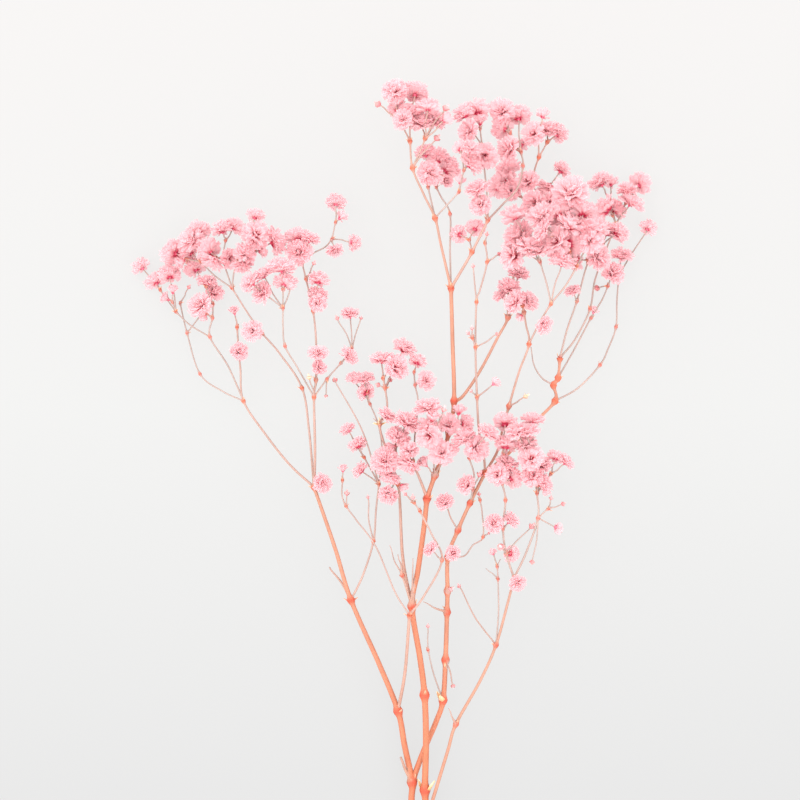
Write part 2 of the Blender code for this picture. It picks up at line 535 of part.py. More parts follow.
def rays_at(joint):
    """Every stalk that meets at a joint: its limb or None, its direction and its radius."""
    owner = owner_of(joint)
    points = path_points(owner)
    index = LIMBS[owner]["path"].index(joint)
    radius = radius_at(owner, index)
    centre = points[index]
    rays = [(None, (points[index - 1] - centre).normalized(), radius)]
    if index + 1 < len(points):
        rays.append((None, (points[index + 1] - centre).normalized(), radius))
    for child in children_of(joint):
        direction = (path_points(child)[1] - centre).normalized()
        rays.append((child, direction, LIMBS[child]["thickness"][0]))
    return rays


def start_distance(child):
    """How far from its joint a limb starts, to stay clear of every stalk that meets there."""
    joint = LIMBS[child]["path"][0]
    rays = rays_at(joint)
    own = next(ray for ray in rays if ray[0] == child)
    distance = knob_radius(joint_radius(owner_of(joint), joint)) + 2 * CLEARANCE
    for limb_name, direction, radius in rays:
        if limb_name == child:
            continue
        angle = own[1].angle(direction)
        if angle < math.radians(90):
            reach = radius + SIDE_CLEARANCE + own[2] * math.cos(angle)
            distance = max(distance, reach / math.sin(angle))
    return min(distance, LONGEST_STUB)


def weld(mesh):
    work = bmesh.new()
    work.from_mesh(mesh)
    bmesh.ops.remove_doubles(work, verts=work.verts, dist=0.00001)
    bmesh.ops.recalc_face_normals(work, faces=work.faces)
    work.to_mesh(mesh)
    work.free()


def tube(points, radii, roundness, helpers):
    """A closed tube along a run of points in mm, as a mesh in metres."""
    curve = bpy.data.curves.new("stalk", "CURVE")
    curve.dimensions = "3D"
    curve.bevel_depth = MM
    curve.bevel_resolution = roundness
    curve.use_fill_caps = True
    spline = curve.splines.new("POLY")
    spline.points.add(len(points) - 1)
    for spot, place, radius in zip(spline.points, points, radii):
        spot.co = (*(place * MM), 1)
        spot.radius = radius
    stalk = bpy.data.objects.new("stalk", curve)
    helpers.objects.link(stalk)
    depsgraph = bpy.context.evaluated_depsgraph_get()
    mesh = bpy.data.meshes.new_from_object(stalk.evaluated_get(depsgraph))
    bpy.data.objects.remove(stalk)
    bpy.data.curves.remove(curve)
    weld(mesh)
    return mesh


def knob(centre, radius):
    """A swollen joint, or a fork in a spray."""
    mesh = bpy.data.meshes.new("knob")
    work = bmesh.new()
    if radius > THICK_STALK:
        bmesh.ops.create_icosphere(work, subdivisions=1, radius=radius * MM)
    else:
        bmesh.ops.create_uvsphere(work, u_segments=5, v_segments=2, radius=radius * MM)
    bmesh.ops.translate(work, verts=work.verts, vec=centre * MM)
    work.to_mesh(mesh)
    work.free()
    return mesh


def head(centre, size, axis):
    """A flower head or a bud: a ball, a little flat along the axis of its stalk."""
    mesh = bpy.data.meshes.new("head")
    work = bmesh.new()
    bmesh.ops.create_icosphere(work, subdivisions=1, radius=size / 2 * BALL_SWELL * MM)
    bmesh.ops.scale(work, verts=work.verts, vec=(1, 1, HEAD_FLATTENING))
    turn = axis.to_track_quat("Z", "Y").to_matrix()
    bmesh.ops.rotate(work, verts=work.verts, matrix=turn)
    bmesh.ops.translate(work, verts=work.verts, vec=centre * MM)
    work.to_mesh(mesh)
    work.free()
    return mesh


def spray(base, base_radius, flowers, helpers):
    """The thin stalks from one point to its flowers, forking once where there are several."""
    pieces = []
    centres = [seen(*flower[:3]) for flower in flowers]
    route = [base]
    if len(flowers) > 1:
        middle = sum(centres, Vector()) / len(centres)
        route.append(base.lerp(middle, FORK_SHARE))
    for index, (centre, flower) in enumerate(zip(centres, flowers)):
        size, lean = flower[3:]
        start = route if index == 0 else route[-1:]
        direction = (centre - start[-1]).normalized()
        axis = direction.lerp(Vector((0, 0, 1)), lean).normalized()
        tip = centre - axis * size * STALK_END_SHARE
        tip_radius = FLOWER_STALK if size else BARE_TIP
        radii = [min(base_radius, FLOWER_STALK)] * len(start) + [tip_radius]
        pieces.append(tube(start + [tip], radii, 0, helpers))
        if size:
            pieces.append(head(centre, size, axis))
    return pieces


def roundness_of(radius):
    """More sides on a thicker stalk: four, six or eight."""
    return 0 if radius < THIN_STALK else 1 if radius < THICK_STALK else 2


def limb_pieces(name, helpers):
    """All the closed meshes that make up one limb, overlapping where they grow together."""
    entry = LIMBS[name]
    points = path_points(name)
    radii = [radius_at(name, index) for index in range(len(points))]
    first = entry["path"][0]
    if isinstance(first, str):
        skipped, kept = cut_path(points, start_distance(name))
        radii = [radii[0]] + radii[len(points) - len(kept) + 1:]
    else:
        kept = points
    pieces = [tube(kept, radii, roundness_of(radii[0]), helpers)]
    for joint in own_joints(name):
        swell = knob_radius(joint_radius(name, joint))
        pieces.append(knob(point(joint), swell))
        for child in children_of(joint):
            stub, rest = cut_path(path_points(child), start_distance(child) - CLEARANCE)
            thickness = LIMBS[child]["thickness"][0]
            pieces.append(tube(stub, [thickness] * len(stub), roundness_of(thickness), helpers))
    if entry["sprays"] and not isinstance(entry["path"][-1], str):
        pieces.append(knob(points[-1], knob_radius(radii[-1])))
    for place, flowers in entry["sprays"]:
        base = points[-1] if place == "end" else point(place)
        pieces += spray(base, entry["thickness"][1], flowers, helpers)
    return pieces


def grown_together(name, pieces, helpers):
    """One closed mesh from overlapping pieces."""
    whole = bpy.data.objects.new(name, pieces[0])
    helpers.objects.link(whole)
    if len(pieces) > 1:
        others = bpy.data.collections.new("others")
        for piece in pieces[1:]:
            others.objects.link(bpy.data.objects.new("other", piece))
        helpers.children.link(others)
        union = whole.modifiers.new("union", "BOOLEAN")
        union.operation = "UNION"
        union.operand_type = "COLLECTION"
        union.collection = others
        union.solver = "EXACT"
        depsgraph = bpy.context.evaluated_depsgraph_get()
        mesh = bpy.data.meshes.new_from_object(whole.evaluated_get(depsgraph))
        for other in list(others.objects):
            bpy.data.objects.remove(other)
        bpy.data.collections.remove(others)
    else:
        mesh = pieces[0].copy()
    bpy.data.objects.remove(whole)
    mesh.name = name
    return mesh


def is_closed(mesh):
    work = bmesh.new()
    work.from_mesh(mesh)
    corners = all(corner.is_manifold for corner in work.verts)
    closed = corners and all(edge.is_manifold for edge in work.edges)
    work.free()
    return closed


def thinned(mesh, helpers):
    """The same mesh with as few of its faces as still leave it closed."""
    whole = bpy.data.objects.new(mesh.name, mesh)
    helpers.objects.link(whole)
    fewer = whole.modifiers.new("fewer_faces", "DECIMATE")
    result = mesh
    for share in KEPT_SHARES:
        fewer.ratio = share
        depsgraph = bpy.context.evaluated_depsgraph_get()
        attempt = bpy.data.meshes.new_from_object(whole.evaluated_get(depsgraph))
        if is_closed(attempt):
            result = attempt
            break
    bpy.data.objects.remove(whole)
    return result


def finish(name, colour):
    material = bpy.data.materials.new(name + "_finish")
    material.use_nodes = True
    shader = material.node_tree.nodes["Principled BSDF"]
    shader.inputs["Base Color"].default_value = colour
    shader.inputs["Roughness"].default_value = 0.75
    shader.inputs["Metallic"].default_value = 0.0
    return material


def main():
    for leftover in list(bpy.data.objects):
        bpy.data.objects.remove(leftover)
    plant = bpy.data.collections.new("gypsophila_stem")
    helpers = bpy.data.collections.new("helpers")
    bpy.context.scene.collection.children.link(plant)
    bpy.context.scene.collection.children.link(helpers)
    for name, entry in LIMBS.items():
        mesh = thinned(grown_together(name, limb_pieces(name, helpers), helpers), helpers)
        mesh.materials.clear()
        mesh.materials.append(finish(name, entry["colour"]))
        mesh.shade_smooth()
        mesh.set_sharp_from_angle(angle=math.radians(50))
        plant.objects.link(bpy.data.objects.new(name, mesh))


main()
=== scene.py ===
import math
import random

import bpy
from mathutils import Matrix, Vector
from mathutils.kdtree import KDTree


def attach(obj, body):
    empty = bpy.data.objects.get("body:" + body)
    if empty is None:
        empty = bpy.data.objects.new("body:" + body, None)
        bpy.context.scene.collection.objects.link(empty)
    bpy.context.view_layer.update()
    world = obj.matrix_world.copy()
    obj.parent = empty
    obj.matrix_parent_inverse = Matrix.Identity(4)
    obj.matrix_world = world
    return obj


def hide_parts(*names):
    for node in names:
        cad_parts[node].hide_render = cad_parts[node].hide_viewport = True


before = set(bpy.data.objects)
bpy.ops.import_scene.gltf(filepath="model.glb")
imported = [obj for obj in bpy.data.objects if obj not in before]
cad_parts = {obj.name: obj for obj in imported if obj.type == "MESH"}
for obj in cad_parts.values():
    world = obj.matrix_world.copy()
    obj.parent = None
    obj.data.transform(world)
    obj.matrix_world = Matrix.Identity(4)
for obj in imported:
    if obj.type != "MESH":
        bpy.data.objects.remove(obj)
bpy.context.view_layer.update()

bpy.ops.object.select_all(action="DESELECT")

MM = 0.001

# Scale and place, as in the frame's own model
MM_PER_PIXEL = 0.45
PHOTO_MIDDLE = 400
VIEW_HEIGHT = 1125
TRUE_SCALE_HEIGHT = 25
CENTRE_X = 2.7
CENTRE_Y = 58.3
FLOWER_STALK = 0.24
FORK_SHARE = 0.55
STALK_END_SHARE = 0.38

# Camera: 110 mm lens on a 36 mm sensor sees 360 mm at 1.1 m, which is the photo's width
LENS = 110
SENSOR = 36

# The swollen joints: across and down in the photo in pixels, and height in mm
JOINTS = {
    "base_fork": (419, 872, 5),
    "low_fork": (412, 782, 9),
    "left_fork": (398, 711, 9),
    "left_trident": (351, 600, 14),
    "left_crown_fork": (314, 487, 19),
    "low_right_fork": (426.4, 826, 8.5),
    "right_fork": (425, 790, 11),
    "centre_knee": (424.5, 695, 16.5),
    "centre_fork": (412, 606, 21),
    "upper_fork": (427, 498, 29),
    "right_knee": (443, 700, 12),
    "hook_knee": (445.5, 660, 15.5),
    "bract_low_knee": (447, 612, 18.6),
    "bract_knee": (447.5, 591, 20),
    "right_trident": (448, 557, 22),
    "elbow_knee": (458, 530, 25),
    "elbow_fork": (470, 503, 28),
    "elbow_high_knee": (473, 489, 31),
    "orange_elbow": (485, 473, 30),
    "outer_knee": (456, 724, 17),
    "outer_fork": (496, 645, 22),
    "outer_inner_knee": (498, 579, 24),
    "outer_trident": (514, 578, 25),
    "inner_fork": (409.5, 615, 27),
    "inner_right_fork": (442, 560, 31),
    "bud_fork": (346, 506, 17),
    "left_right_fork": (373.5, 541, 17),
    "left_right_tip": (379, 484, 21),
    "left_outer_fork": (243.5, 401, 11),
    "left_mid_knee": (239, 353, 13),
    "left_low_knee": (200, 374, 7),
    "left_low_fork": (187, 333, 6),
    "left_outer_mid_fork": (210, 337, 13),
    "left_outer_mid_knee": (212.5, 318, 13),
    "left_centre_fork": (302, 388, 25),
    "left_centre_knee": (262, 333, 24),
    "left_far_fork": (232, 288, 22),
    "left_high_fork": (314, 397, 29),
    "left_pair_knee": (316, 380, 28),
    "left_tall_knee": (313, 311, 26),
    "left_tall_fork": (306, 279, 26),
    "left_tall_tip": (302, 263, 27),
    "left_side_low": (327, 379, 27),
    "left_side_knee": (341, 363, 25),
    "left_near_fork": (285, 346, 36),
    "left_near_tip": (283, 308, 40),
    "mid_left_fork": (398, 484, 23),
    "mid_left_knee": (391, 462, 25),
    "mid_left_tip": (380, 424, 28),
    "mid_high_fork": (385, 388, 27),
    "upper_left_tip": (413, 463, 34),
    "mid_high_knee": (415, 385, 27),
    "mid_centre_knee": (435, 475, 30.5),
    "crown_low_fork": (449, 432, 30),
    "crown_fork": (454, 401, 30),
    "crown_trident": (451, 288, 32),
    "trident_knee": (483, 537, 24),
    "crown_left_fork": (435, 218, 35),
    "crown_left_knee": (412.5, 168, 37),
    "crown_middle_fork": (450, 214, 24),
    "crown_right_knee": (472, 252, 34),
    "crown_right_fork": (488, 220, 36),
    "crown_high_knee": (523, 166, 26),
    "crown_long_fork": (508, 317, 22),
    "crown_long_mid": (520, 250, 14),
    "crown_long_upper": (530, 205, 14),
    "slim_fork": (477, 397, 35),
    "slim_upper_fork": (475.5, 347, 36),
    "slim_top_fork": (476.5, 302, 36),
    "slim_tip": (487, 262, 35),
    "third_fork": (509, 406, 30),
    "third_top_fork": (529, 344, 34),
    "third_bend": (540, 322, 37),
    "third_right_fork": (551, 304, 40),
    "third_right_top": (577, 266, 45),
    "right_branch_fork": (555, 401, 14),
    "right_branch_elbow": (553.5, 385, 14),
    "right_branch_knee": (558, 378, 14.5),
    "right_branch_top": (560, 358, 15),
    "right_inner_knee": (577, 301, 20),
    "right_mid_knee": (590, 309, 10),
    "right_low_knee": (591, 318, 6),
    "right_outer_knee": (600, 365, 9),
    "right_outer_high_knee": (616, 327, 7),
    "lower_inner_low": (506, 553, 28),
    "lower_inner_mid": (503, 528, 31),
    "lower_inner_high": (505.5, 500, 34),
    "lower_outer_fork": (538, 518, 30),
}

LIMBS = {}


def limb(name, colour, thickness, path, sprays=()):
    """Note one limb.

    The thickness is the radius in mm at its start and its end. The path starts at a joint
    of another limb. A spray leaves a joint, or the end of the path, and each flower in it is
    across, down, height, size in mm, and how far it turns from its stalk to face up.
    A flower of size 0 is a bare tip.
    """
    LIMBS[name] = {"colour": colour, "thickness": thickness, "path": path, "sprays": sprays}


# Main stem and the three stems that part from it
limb("main_stem", "coral", (1.6, 1.45), [(420, 962, 1.6), (420, 910, 3), "base_fork"])
limb("left_stem", "coral", (1.4, 0.62),
     ["base_fork", (413, 830, 7), (411.5, 800, 8), "low_fork", (404.5, 745, 8), "left_fork",
      (380, 666, 11), "left_trident", (335, 548, 16), "left_crown_fork"],
     [("low_fork", [(401, 758, 11, 0, 0)]),
      ("left_trident", [(330, 568, 11, 0, 0)]),
      ("left_crown_fork", [(323, 483, 23, 7.8, 0.3)])])
limb("centre_stem", "coral", (1.35, 0.95),
     ["base_fork", "low_right_fork", "right_fork", (426, 740, 14), "centre_knee", (420, 658, 18),
      "centre_fork", (418, 570, 25), (424, 527, 27), "upper_fork"],
     [("centre_fork", [(390, 546, 27, 0, 0), (398, 555, 29, 0, 0)]),
      ("centre_fork", [(413, 559, 31, 0, 0)])])
limb("right_stem", "coral", (1.15, 0.6),
     ["low_fork", (424, 750, 7.5), (436, 722, 10), "right_knee", "hook_knee", "bract_low_knee",
      "bract_knee", "right_trident", "elbow_knee", "elbow_fork", (479, 485, 29), "orange_elbow"],
     [("hook_knee", [(453, 686, 14, 2.6, 0)]),
      ("bract_low_knee", [(424, 602, 22, 0, 0)]),
      ("bract_knee", [(451, 589, 21, 3.2, 0)]),
      ("right_trident", [(453, 553, 29, 6.4, 0.5)]),
      ("elbow_knee", [(444, 501, 30, 8, 0.3)])])
limb("far_right_branch", "coral", (0.68, 0.45),
     ["low_right_fork", (431, 806, 11), (437, 786, 13.5), (448, 750, 16), "outer_knee",
      (480, 681, 20), "outer_fork", (508, 602, 24), "outer_trident"],
     [("outer_knee", [(449, 709, 20, 0, 0)]),
      ("outer_fork", [(459, 586, 18, 2.6, 0)]),
      ("outer_trident", [(518, 584, 30, 7.2, 0)])])

limb("low_twig_sprig", "pink", (0.25, 0.2),
     ["right_knee", (434, 675, 15), (428, 650, 19)],
     [("end", [(428, 626, 20, 2.4, 0)])])
limb("outer_inner_sprig", "pink", (0.26, 0.22),
     ["outer_fork", (498.5, 612, 23), "outer_inner_knee"],
     [("outer_inner_knee", [(486.5, 569, 22, 0, 0)]),
      ("outer_inner_knee", [(493, 553, 22, 4.6, 0), (500, 560, 23, 0, 0)])])

# Limbs of the left stem
limb("inner_left_branch", "salmon", (0.62, 0.55), ["left_fork", (405, 672, 17), "inner_fork"])
limb("inner_right_sprig", "salmon", (0.4, 0.28),
     ["inner_fork", (424, 596, 29), "inner_right_fork", (431, 533, 34), (420, 511, 36)],
     [("inner_right_fork", [(430, 548, 36, 6.4, 0.1)]),
      ("end", [(413, 497, 37, 3, 0), (405, 494, 36, 2.6, 0)])])
limb("inner_left_long_sprig", "salmon", (0.28, 0.22),
     ["inner_fork", (395, 592, 25), (376, 547, 22), (357, 521, 19), "bud_fork", (342, 495, 17),
      (342.5, 480, 17)],
     [("bud_fork", [(347, 493, 18, 3.2, 0)]),
      ("end", [(343, 469, 17, 4.6, 0)])])
limb("left_right_sprig", "salmon", (0.38, 0.28),
     ["left_trident", (363, 575, 15), "left_right_fork", (376, 510, 19), "left_right_tip"],
     [("left_right_fork", [(368, 497, 20, 2.2, 0)]),
      ("left_right_tip", [(357, 443, 24, 7, 0.1), (347, 428, 22, 6.4, 0.1)]),
      ("left_right_tip", [(359, 469, 22, 6.4, 0.2)]),
      ("left_right_tip", [(335, 380, 26, 3, 0)])])
limb("mid_far_left_sprig", "pink", (0.26, 0.22),
     ["left_right_tip", (382, 450, 19), (378, 424, 17), (370, 404, 15)],
     [("end", [(365, 391, 15, 7.2, 0.2), (363, 377, 19, 7.2, 0.1)]),
      ("end", [(353, 379, 12, 6.2, 0)])])

# Limbs at the left crown, outer side first
limb("left_outer_branch", "salmon", (0.42, 0.3),
     ["left_crown_fork", (290, 465, 17), (266, 435, 14), "left_outer_fork", (240.5, 370, 13),
      "left_mid_knee", (237, 327, 15)],
     [("left_mid_knee", [(239.5, 351, 18, 7.2, 0)]),
      ("end", [(234, 311, 16, 5.6, 0.3)])])
limb("left_outer_low_sprig", "pink", (0.25, 0.22),
     ["left_outer_fork", (222, 391, 9), "left_low_knee", "left_low_fork", (180, 303, 6)],
     [("end", [(189, 287, 7, 2.6, 0)]),
      ("left_low_fork", [(215, 291, 8, 7.2, 0.4)])])
limb("left_outer_mid_sprig", "pink", (0.3, 0.25),
     ["left_outer_fork", (228, 366, 12), "left_outer_mid_fork", "left_outer_mid_knee",
      (213, 304, 13)],
     [("left_outer_mid_knee", [(199, 304, 16, 9, 0.4), (204, 315, 12, 5.6, 0.2)]),
      ("end", [(207, 280, 12, 6.8, 0.1), (194, 266, 9.5, 8, 0.1)])])
limb("left_far_sprig", "pink", (0.25, 0.22),
     ["left_outer_mid_fork", (190, 325, 11), (176, 312, 9)],
     [("end", [(166, 298, 8, 5.4, 0.3), (173, 290, 12, 5.4, 0.1)]),
      ("end", [(155, 280, 3.9, 7.6, 0.1), (140, 265, 3.7, 7.2, 0.1)]),
      ("end", [(169, 273, 9, 7.6, 0.1)])])
limb("left_centre_branch", "salmon", (0.42, 0.26),
     ["left_crown_fork", (309, 430, 22), "left_centre_fork", (280, 354, 24), "left_centre_knee",
      (247, 312, 23), "left_far_fork"],
     [("left_centre_knee", [(251.5, 331, 29, 7.8, 0.6)])])
limb("left_top_right_sprig", "pink", (0.26, 0.22),
     ["left_far_fork", (234, 272, 27), (238, 258, 30)],
     [("end", [(257, 234, 34, 9.6, 0.5), (256, 214, 30, 7.2, 0.1)]),
      ("end", [(277, 240, 28, 9, 0.2), (262, 252, 31, 5, 0)]),
      ("end", [(246, 252, 36, 7.6, 0.1), (242, 267, 33, 7, 0.1)])])
limb("left_top_middle_sprig", "pink", (0.26, 0.22),
     ["left_far_fork", (226, 270, 22), (222, 258, 22)],
     [("end", [(221, 227, 24, 8.2, 0.1), (236, 225, 20, 7.2, 0)]),
      ("end", [(231, 259, 24, 7.2, 0.4)]),
      ("end", [(208.5, 250, 20.5, 8, 0), (212, 263, 24, 8, 0.1)])])
limb("left_top_left_sprig", "pink", (0.26, 0.22),
     ["left_far_fork", (215, 276, 18), (201, 262, 17)],
     [("end", [(199, 229, 15, 7.6, 0.1), (190, 239, 19, 9, 0.4)]),
      ("end", [(188, 251, 14, 6.8, 0.1)]),
      ("end", [(172, 252, 11, 9, 0.2), (181, 262, 16, 5.8, 0)])])
limb("left_high_branch", "salmon", (0.5, 0.25),
     ["left_crown_fork", (315, 450, 24), "left_high_fork", "left_pair_knee", (316, 340, 27),
      "left_tall_knee", "left_tall_fork", "left_tall_tip"],
     [("left_high_fork", [(309, 377, 33, 3.2, 0)]),
      ("left_pair_knee", [(318, 352, 33, 7.6, 0.3), (320, 367, 31, 6.4, 0.3)]),
      ("left_tall_knee", [(318, 303, 30, 7.2, 0.5), (318, 294, 26, 7.4, 0.1),
                          (319, 278, 28, 7.6, 0)]),
      ("left_tall_fork", [(314, 263, 27, 2.6, 0)]),
      ("end", [(299, 252, 30, 8.6, 0.2), (297, 236, 26, 8.6, 0.1)]),
      ("end", [(311, 237, 30, 7.2, 0)])])
limb("left_arc_sprig", "pink", (0.28, 0.22),
     ["left_tall_tip", (312, 254, 24), (325, 247, 21), (332, 239, 19)],
     [("end", [(341, 217, 16, 6.2, 0.1), (336, 201, 14, 7.6, 0)]),
      ("end", [(335, 251, 22, 6.8, 0.2)]),
      ("end", [(355, 243, 16, 6.8, 0.1)])])
limb("left_side_sprig", "pink", (0.28, 0.22),
     ["left_high_fork", "left_side_low", "left_side_knee", (352, 349, 23)],
     [("left_side_low", [(326, 396, 24, 2.2, 0)]),
      ("left_side_knee", [(350, 355, 29, 7.6, 0.2)]),
      ("end", [(350, 312, 20, 7.6, 0.3)]),
      ("end", [(337, 318, 20, 3, 0)]),
      ("end", [(361, 318, 19, 2.2, 0)])])
limb("left_near_sprig", "pink", (0.28, 0.24),
     ["left_high_fork", (297, 367, 33), "left_near_fork", (283, 325, 38), "left_near_tip"],
     [("left_near_tip", [(281, 265, 44, 9, 0.2), (285, 281, 41, 7.2, 0.1)]),
      ("left_near_tip", [(293, 283, 38, 4.6, 0)]),
      ("left_near_tip", [(261, 292, 42, 8.2, 0.4), (249, 281, 44, 8, 0.1)]),
      ("left_near_tip", [(262, 273, 40, 6.8, 0.1)])])

# Limbs of the centre stem
limb("centre_left_branch", "salmon", (0.66, 0.3),
     ["centre_fork", (403, 560, 21), (400, 505, 22), "mid_left_fork", "mid_left_knee",
      (383, 440, 27), "mid_left_tip", (387, 408, 27), "mid_high_fork", (383, 378, 27)],
     [("mid_left_tip", [(388, 414, 32, 7.2, 0.1)]),
      ("mid_left_tip", [(374, 419, 28, 0, 0)]),
      ("mid_high_fork", [(405, 346, 24, 8.8, 0.3)]),
      ("mid_high_fork", [(390, 380, 23, 2.8, 0)]),
      ("mid_high_fork", [(378, 385, 26, 3, 0)]),
      ("end", [(381, 357, 28, 7.8, 0.1)]),
      ("end", [(397, 366, 32, 9.4, 0.3)])])
limb("mid_left_low_sprig", "pink", (0.26, 0.24),
     ["mid_left_fork", (396, 478, 28)],
     [("end", [(388, 496, 30, 7.8, 0.4)]),
      ("end", [(389, 478, 33, 7.6, 0.1), (384, 460, 36, 9.4, 0.6)]),
      ("end", [(403, 486, 29, 4.6, 0)])])
limb("mid_left_high_sprig", "pink", (0.26, 0.24),
     ["mid_left_knee", (395, 452, 30)],
     [("end", [(392, 447, 33, 5.6, 0), (399, 435, 35, 8.2, 0.1)]),
      ("end", [(407, 420, 36, 8.6, 0.1)])])
limb("upper_left_sprig", "salmon", (0.6, 0.35),
     ["upper_fork", (421, 482, 31), "upper_left_tip"],
     [("end", [(407, 466, 38, 8.2, 0.2), (409, 449, 40, 6.4, 0.2)])])
limb("mid_high_sprig", "pink", (0.28, 0.22),
     ["upper_left_tip", (415, 435, 31), (418, 402, 28), "mid_high_knee", (414, 372, 27)],
     [("mid_high_knee", [(427, 380, 30, 7, 0.5)]),
      ("end", [(418, 360, 27, 6.4, 0.1)])])
limb("crown_stem", "coral", (0.85, 0.7),
     ["upper_fork", "mid_centre_knee", (442, 457, 31), "crown_low_fork", "crown_fork",
      (452.5, 340, 31), "crown_trident"],
     [("mid_centre_knee", [(424, 463, 36, 6, 0.1)]),
      ("mid_centre_knee", [(442, 452, 40, 8.6, 0.4), (453, 450, 37, 5.2, 0)]),
      ("crown_low_fork", [(449, 423, 37, 7.2, 0.2)]),
      ("crown_low_fork", [(459, 411, 35, 6, 0), (467, 424, 34, 6.4, 0)])])
limb("mid_centre_sprig", "pink", (0.28, 0.24),
     ["mid_centre_knee", (433, 455, 36), (432, 442, 38)],
     [("end", [(428, 437, 41, 8, 0), (427, 424, 38, 7.8, 0.1)]),
      ("end", [(433, 417, 43, 6.2, 0), (427, 405, 40, 8.6, 0.3)]),
      ("end", [(444, 409, 42, 3.6, 0)])])

# Limbs at the top of the crown
limb("crown_left_sprig", "salmon", (0.5, 0.3),
     ["crown_trident", (441, 245, 33), "crown_left_fork", (424, 195, 36), "crown_left_knee",
      (410, 141, 38)],
     [("end", [(395, 90, 40, 9, 0.7), (397, 107, 33, 6.8, 0), (378, 104, 36, 4, 0)]),
      ("end", [(416, 91, 34, 8.6, 0.1), (402, 119, 43, 7.2, 0.3), (411, 111, 36, 8, 0.2)]),
      ("crown_left_knee", [(428, 105, 42, 7.2, 0), (421, 121, 38, 8, 0.3),
                           (436, 118, 34, 8, 0.5), (446, 108, 40, 4.2, 0),
                           (446, 119, 41, 5.6, 0)]),
      ("crown_left_knee", [(437, 138, 36, 4, 0)])])
limb("crown_left_inner_sprig", "pink", (0.3, 0.26),
     ["crown_left_fork", (431, 200, 33), (428, 187, 32)],
     [("end", [(425, 151, 30, 8.2, 0), (431, 173, 34, 8.2, 0.3)])])
limb("crown_middle_sprig", "pink", (0.32, 0.26),
     ["crown_trident", (450, 250, 27), "crown_middle_fork", (441, 197, 22), (436, 187, 22)],
     [("end", [(437, 157, 20, 8.2, 0.1), (449, 167, 18, 8.6, 0.2), (446, 181, 25, 5.8, 0.4)])])
limb("crown_arch_sprig", "pink", (0.28, 0.24),
     ["crown_left_fork", (447, 205, 39), (459, 192, 41)],
     [("end", [(460, 181, 40, 5, 0)]),
      ("end", [(472, 162, 42, 7.8, 0.1), (460, 148, 38, 6, 0), (472, 147, 46, 7.6, 0)])])
limb("crown_right_branch", "salmon", (0.55, 0.4),
     ["crown_trident", (460, 273, 33), "crown_right_knee", "crown_right_fork"],
     [("crown_right_knee", [(458, 234, 25, 7, 0), (476, 227, 24, 7.2, 0.2)]),
      ("crown_right_fork", [(480, 204, 42, 7.6, 0.4), (477, 187, 44, 8.2, 0.1)])])
limb("crown_top_left_sprig", "pink", (0.3, 0.24),
     ["crown_right_fork", (487, 195, 31), (484, 165, 30), (482, 145, 30)],
     [("end", [(463, 112, 33, 7.8, 0), (467, 130, 36, 7.2, 0.1)]),
      ("end", [(477, 108, 28, 8.6, 0.1), (480, 121, 33, 6, 0)]),
      ("end", [(485, 157, 36, 8.2, 0.4)])])
limb("crown_high_sprig", "pink", (0.35, 0.28),
     ["crown_right_fork", (503, 204, 33), (517, 189, 28), "crown_high_knee", (521, 152, 26)],
     [("end", [(502, 109, 28, 9, 0.5), (501, 127, 24, 8.2, 0)]),
      ("end", [(518, 114, 22, 8.8, 0.2)]),
      ("end", [(507, 149, 30, 9, 0.2), (522, 145, 20, 5.6, 0)])])
limb("crown_long_branch", "salmon", (0.6, 0.3),
     ["crown_fork", (463, 396, 27), (480, 371, 26), (498, 337, 24), "crown_long_fork",
      (512, 285, 17), "crown_long_mid", "crown_long_upper", (534, 173, 18), (539, 157, 20)],
     [("crown_long_fork", [(500, 294, 28, 6.4, 0.2), (510, 285, 30, 8, 0.2)]),
      ("crown_long_fork", [(519, 272, 27, 8, 0.1)]),
      ("end", [(543, 115, 24, 6, 0), (533, 133, 26, 8.2, 0.5)]),
      ("end", [(548, 128, 20, 8.2, 0.3), (560, 132, 18, 8, 0)])])
limb("crown_long_left_sprig", "pink", (0.28, 0.24),
     ["crown_long_upper", (520, 196, 12)],
     [("end", [(508, 167, 10, 8.2, 0), (504, 180, 14, 8.2, 0.3)]),
      ("end", [(497, 187, 3.7, 7.4, 0), (511, 190, 17, 6.6, 0.2)])])
limb("crown_long_right_sprig", "pink", (0.28, 0.24),
     ["crown_long_upper", (540, 198, 12)],
     [("end", [(527, 180, 25, 7.6, 0.1)]),
      ("end", [(547, 190, 12, 8.2, 0), (563, 168, 12, 7.6, 0.1)]),
      ("end", [(533, 203, 29, 8, 0.2), (553, 202, 26, 7.6, 0.1)])])

# Limbs of the right stem, from its orange elbow
limb("slim_branch", "salmon", (0.42, 0.26),
     ["orange_elbow", (484, 458, 32), (479, 430, 34), "slim_fork", "slim_upper_fork",
      "slim_top_fork", (480, 290, 36), "slim_tip", (485, 243, 34)],
     [("slim_fork", [(495, 383, 37, 5.8, 0)]),
      ("slim_fork", [(471, 391, 36, 2, 0)]),
      ("slim_upper_fork", [(468, 333, 37, 2.4, 0), (472, 328, 38, 2.4, 0)]),
      ("slim_upper_fork", [(497, 334, 38, 2.2, 0)]),
      ("slim_top_fork", [(473, 266, 37, 2.4, 0)]),
      ("slim_tip", [(499, 254, 33, 2.4, 0)]),
      ("end", [(487, 234, 35, 2.6, 0)])])
limb("third_branch", "salmon", (0.5, 0.3),
     ["orange_elbow", (497, 452, 27), (502, 432, 28), "third_fork", (519, 372, 32),
      "third_top_fork", (526, 325, 33), (524, 312, 32)],
     [("third_fork", [(526, 396, 33, 3.4, 0)]),
      ("end", [(530, 300, 34, 7.6, 0.4), (513, 301, 37, 7.6, 0.1)]),
      ("end", [(521, 316, 30, 4.6, 0)])])
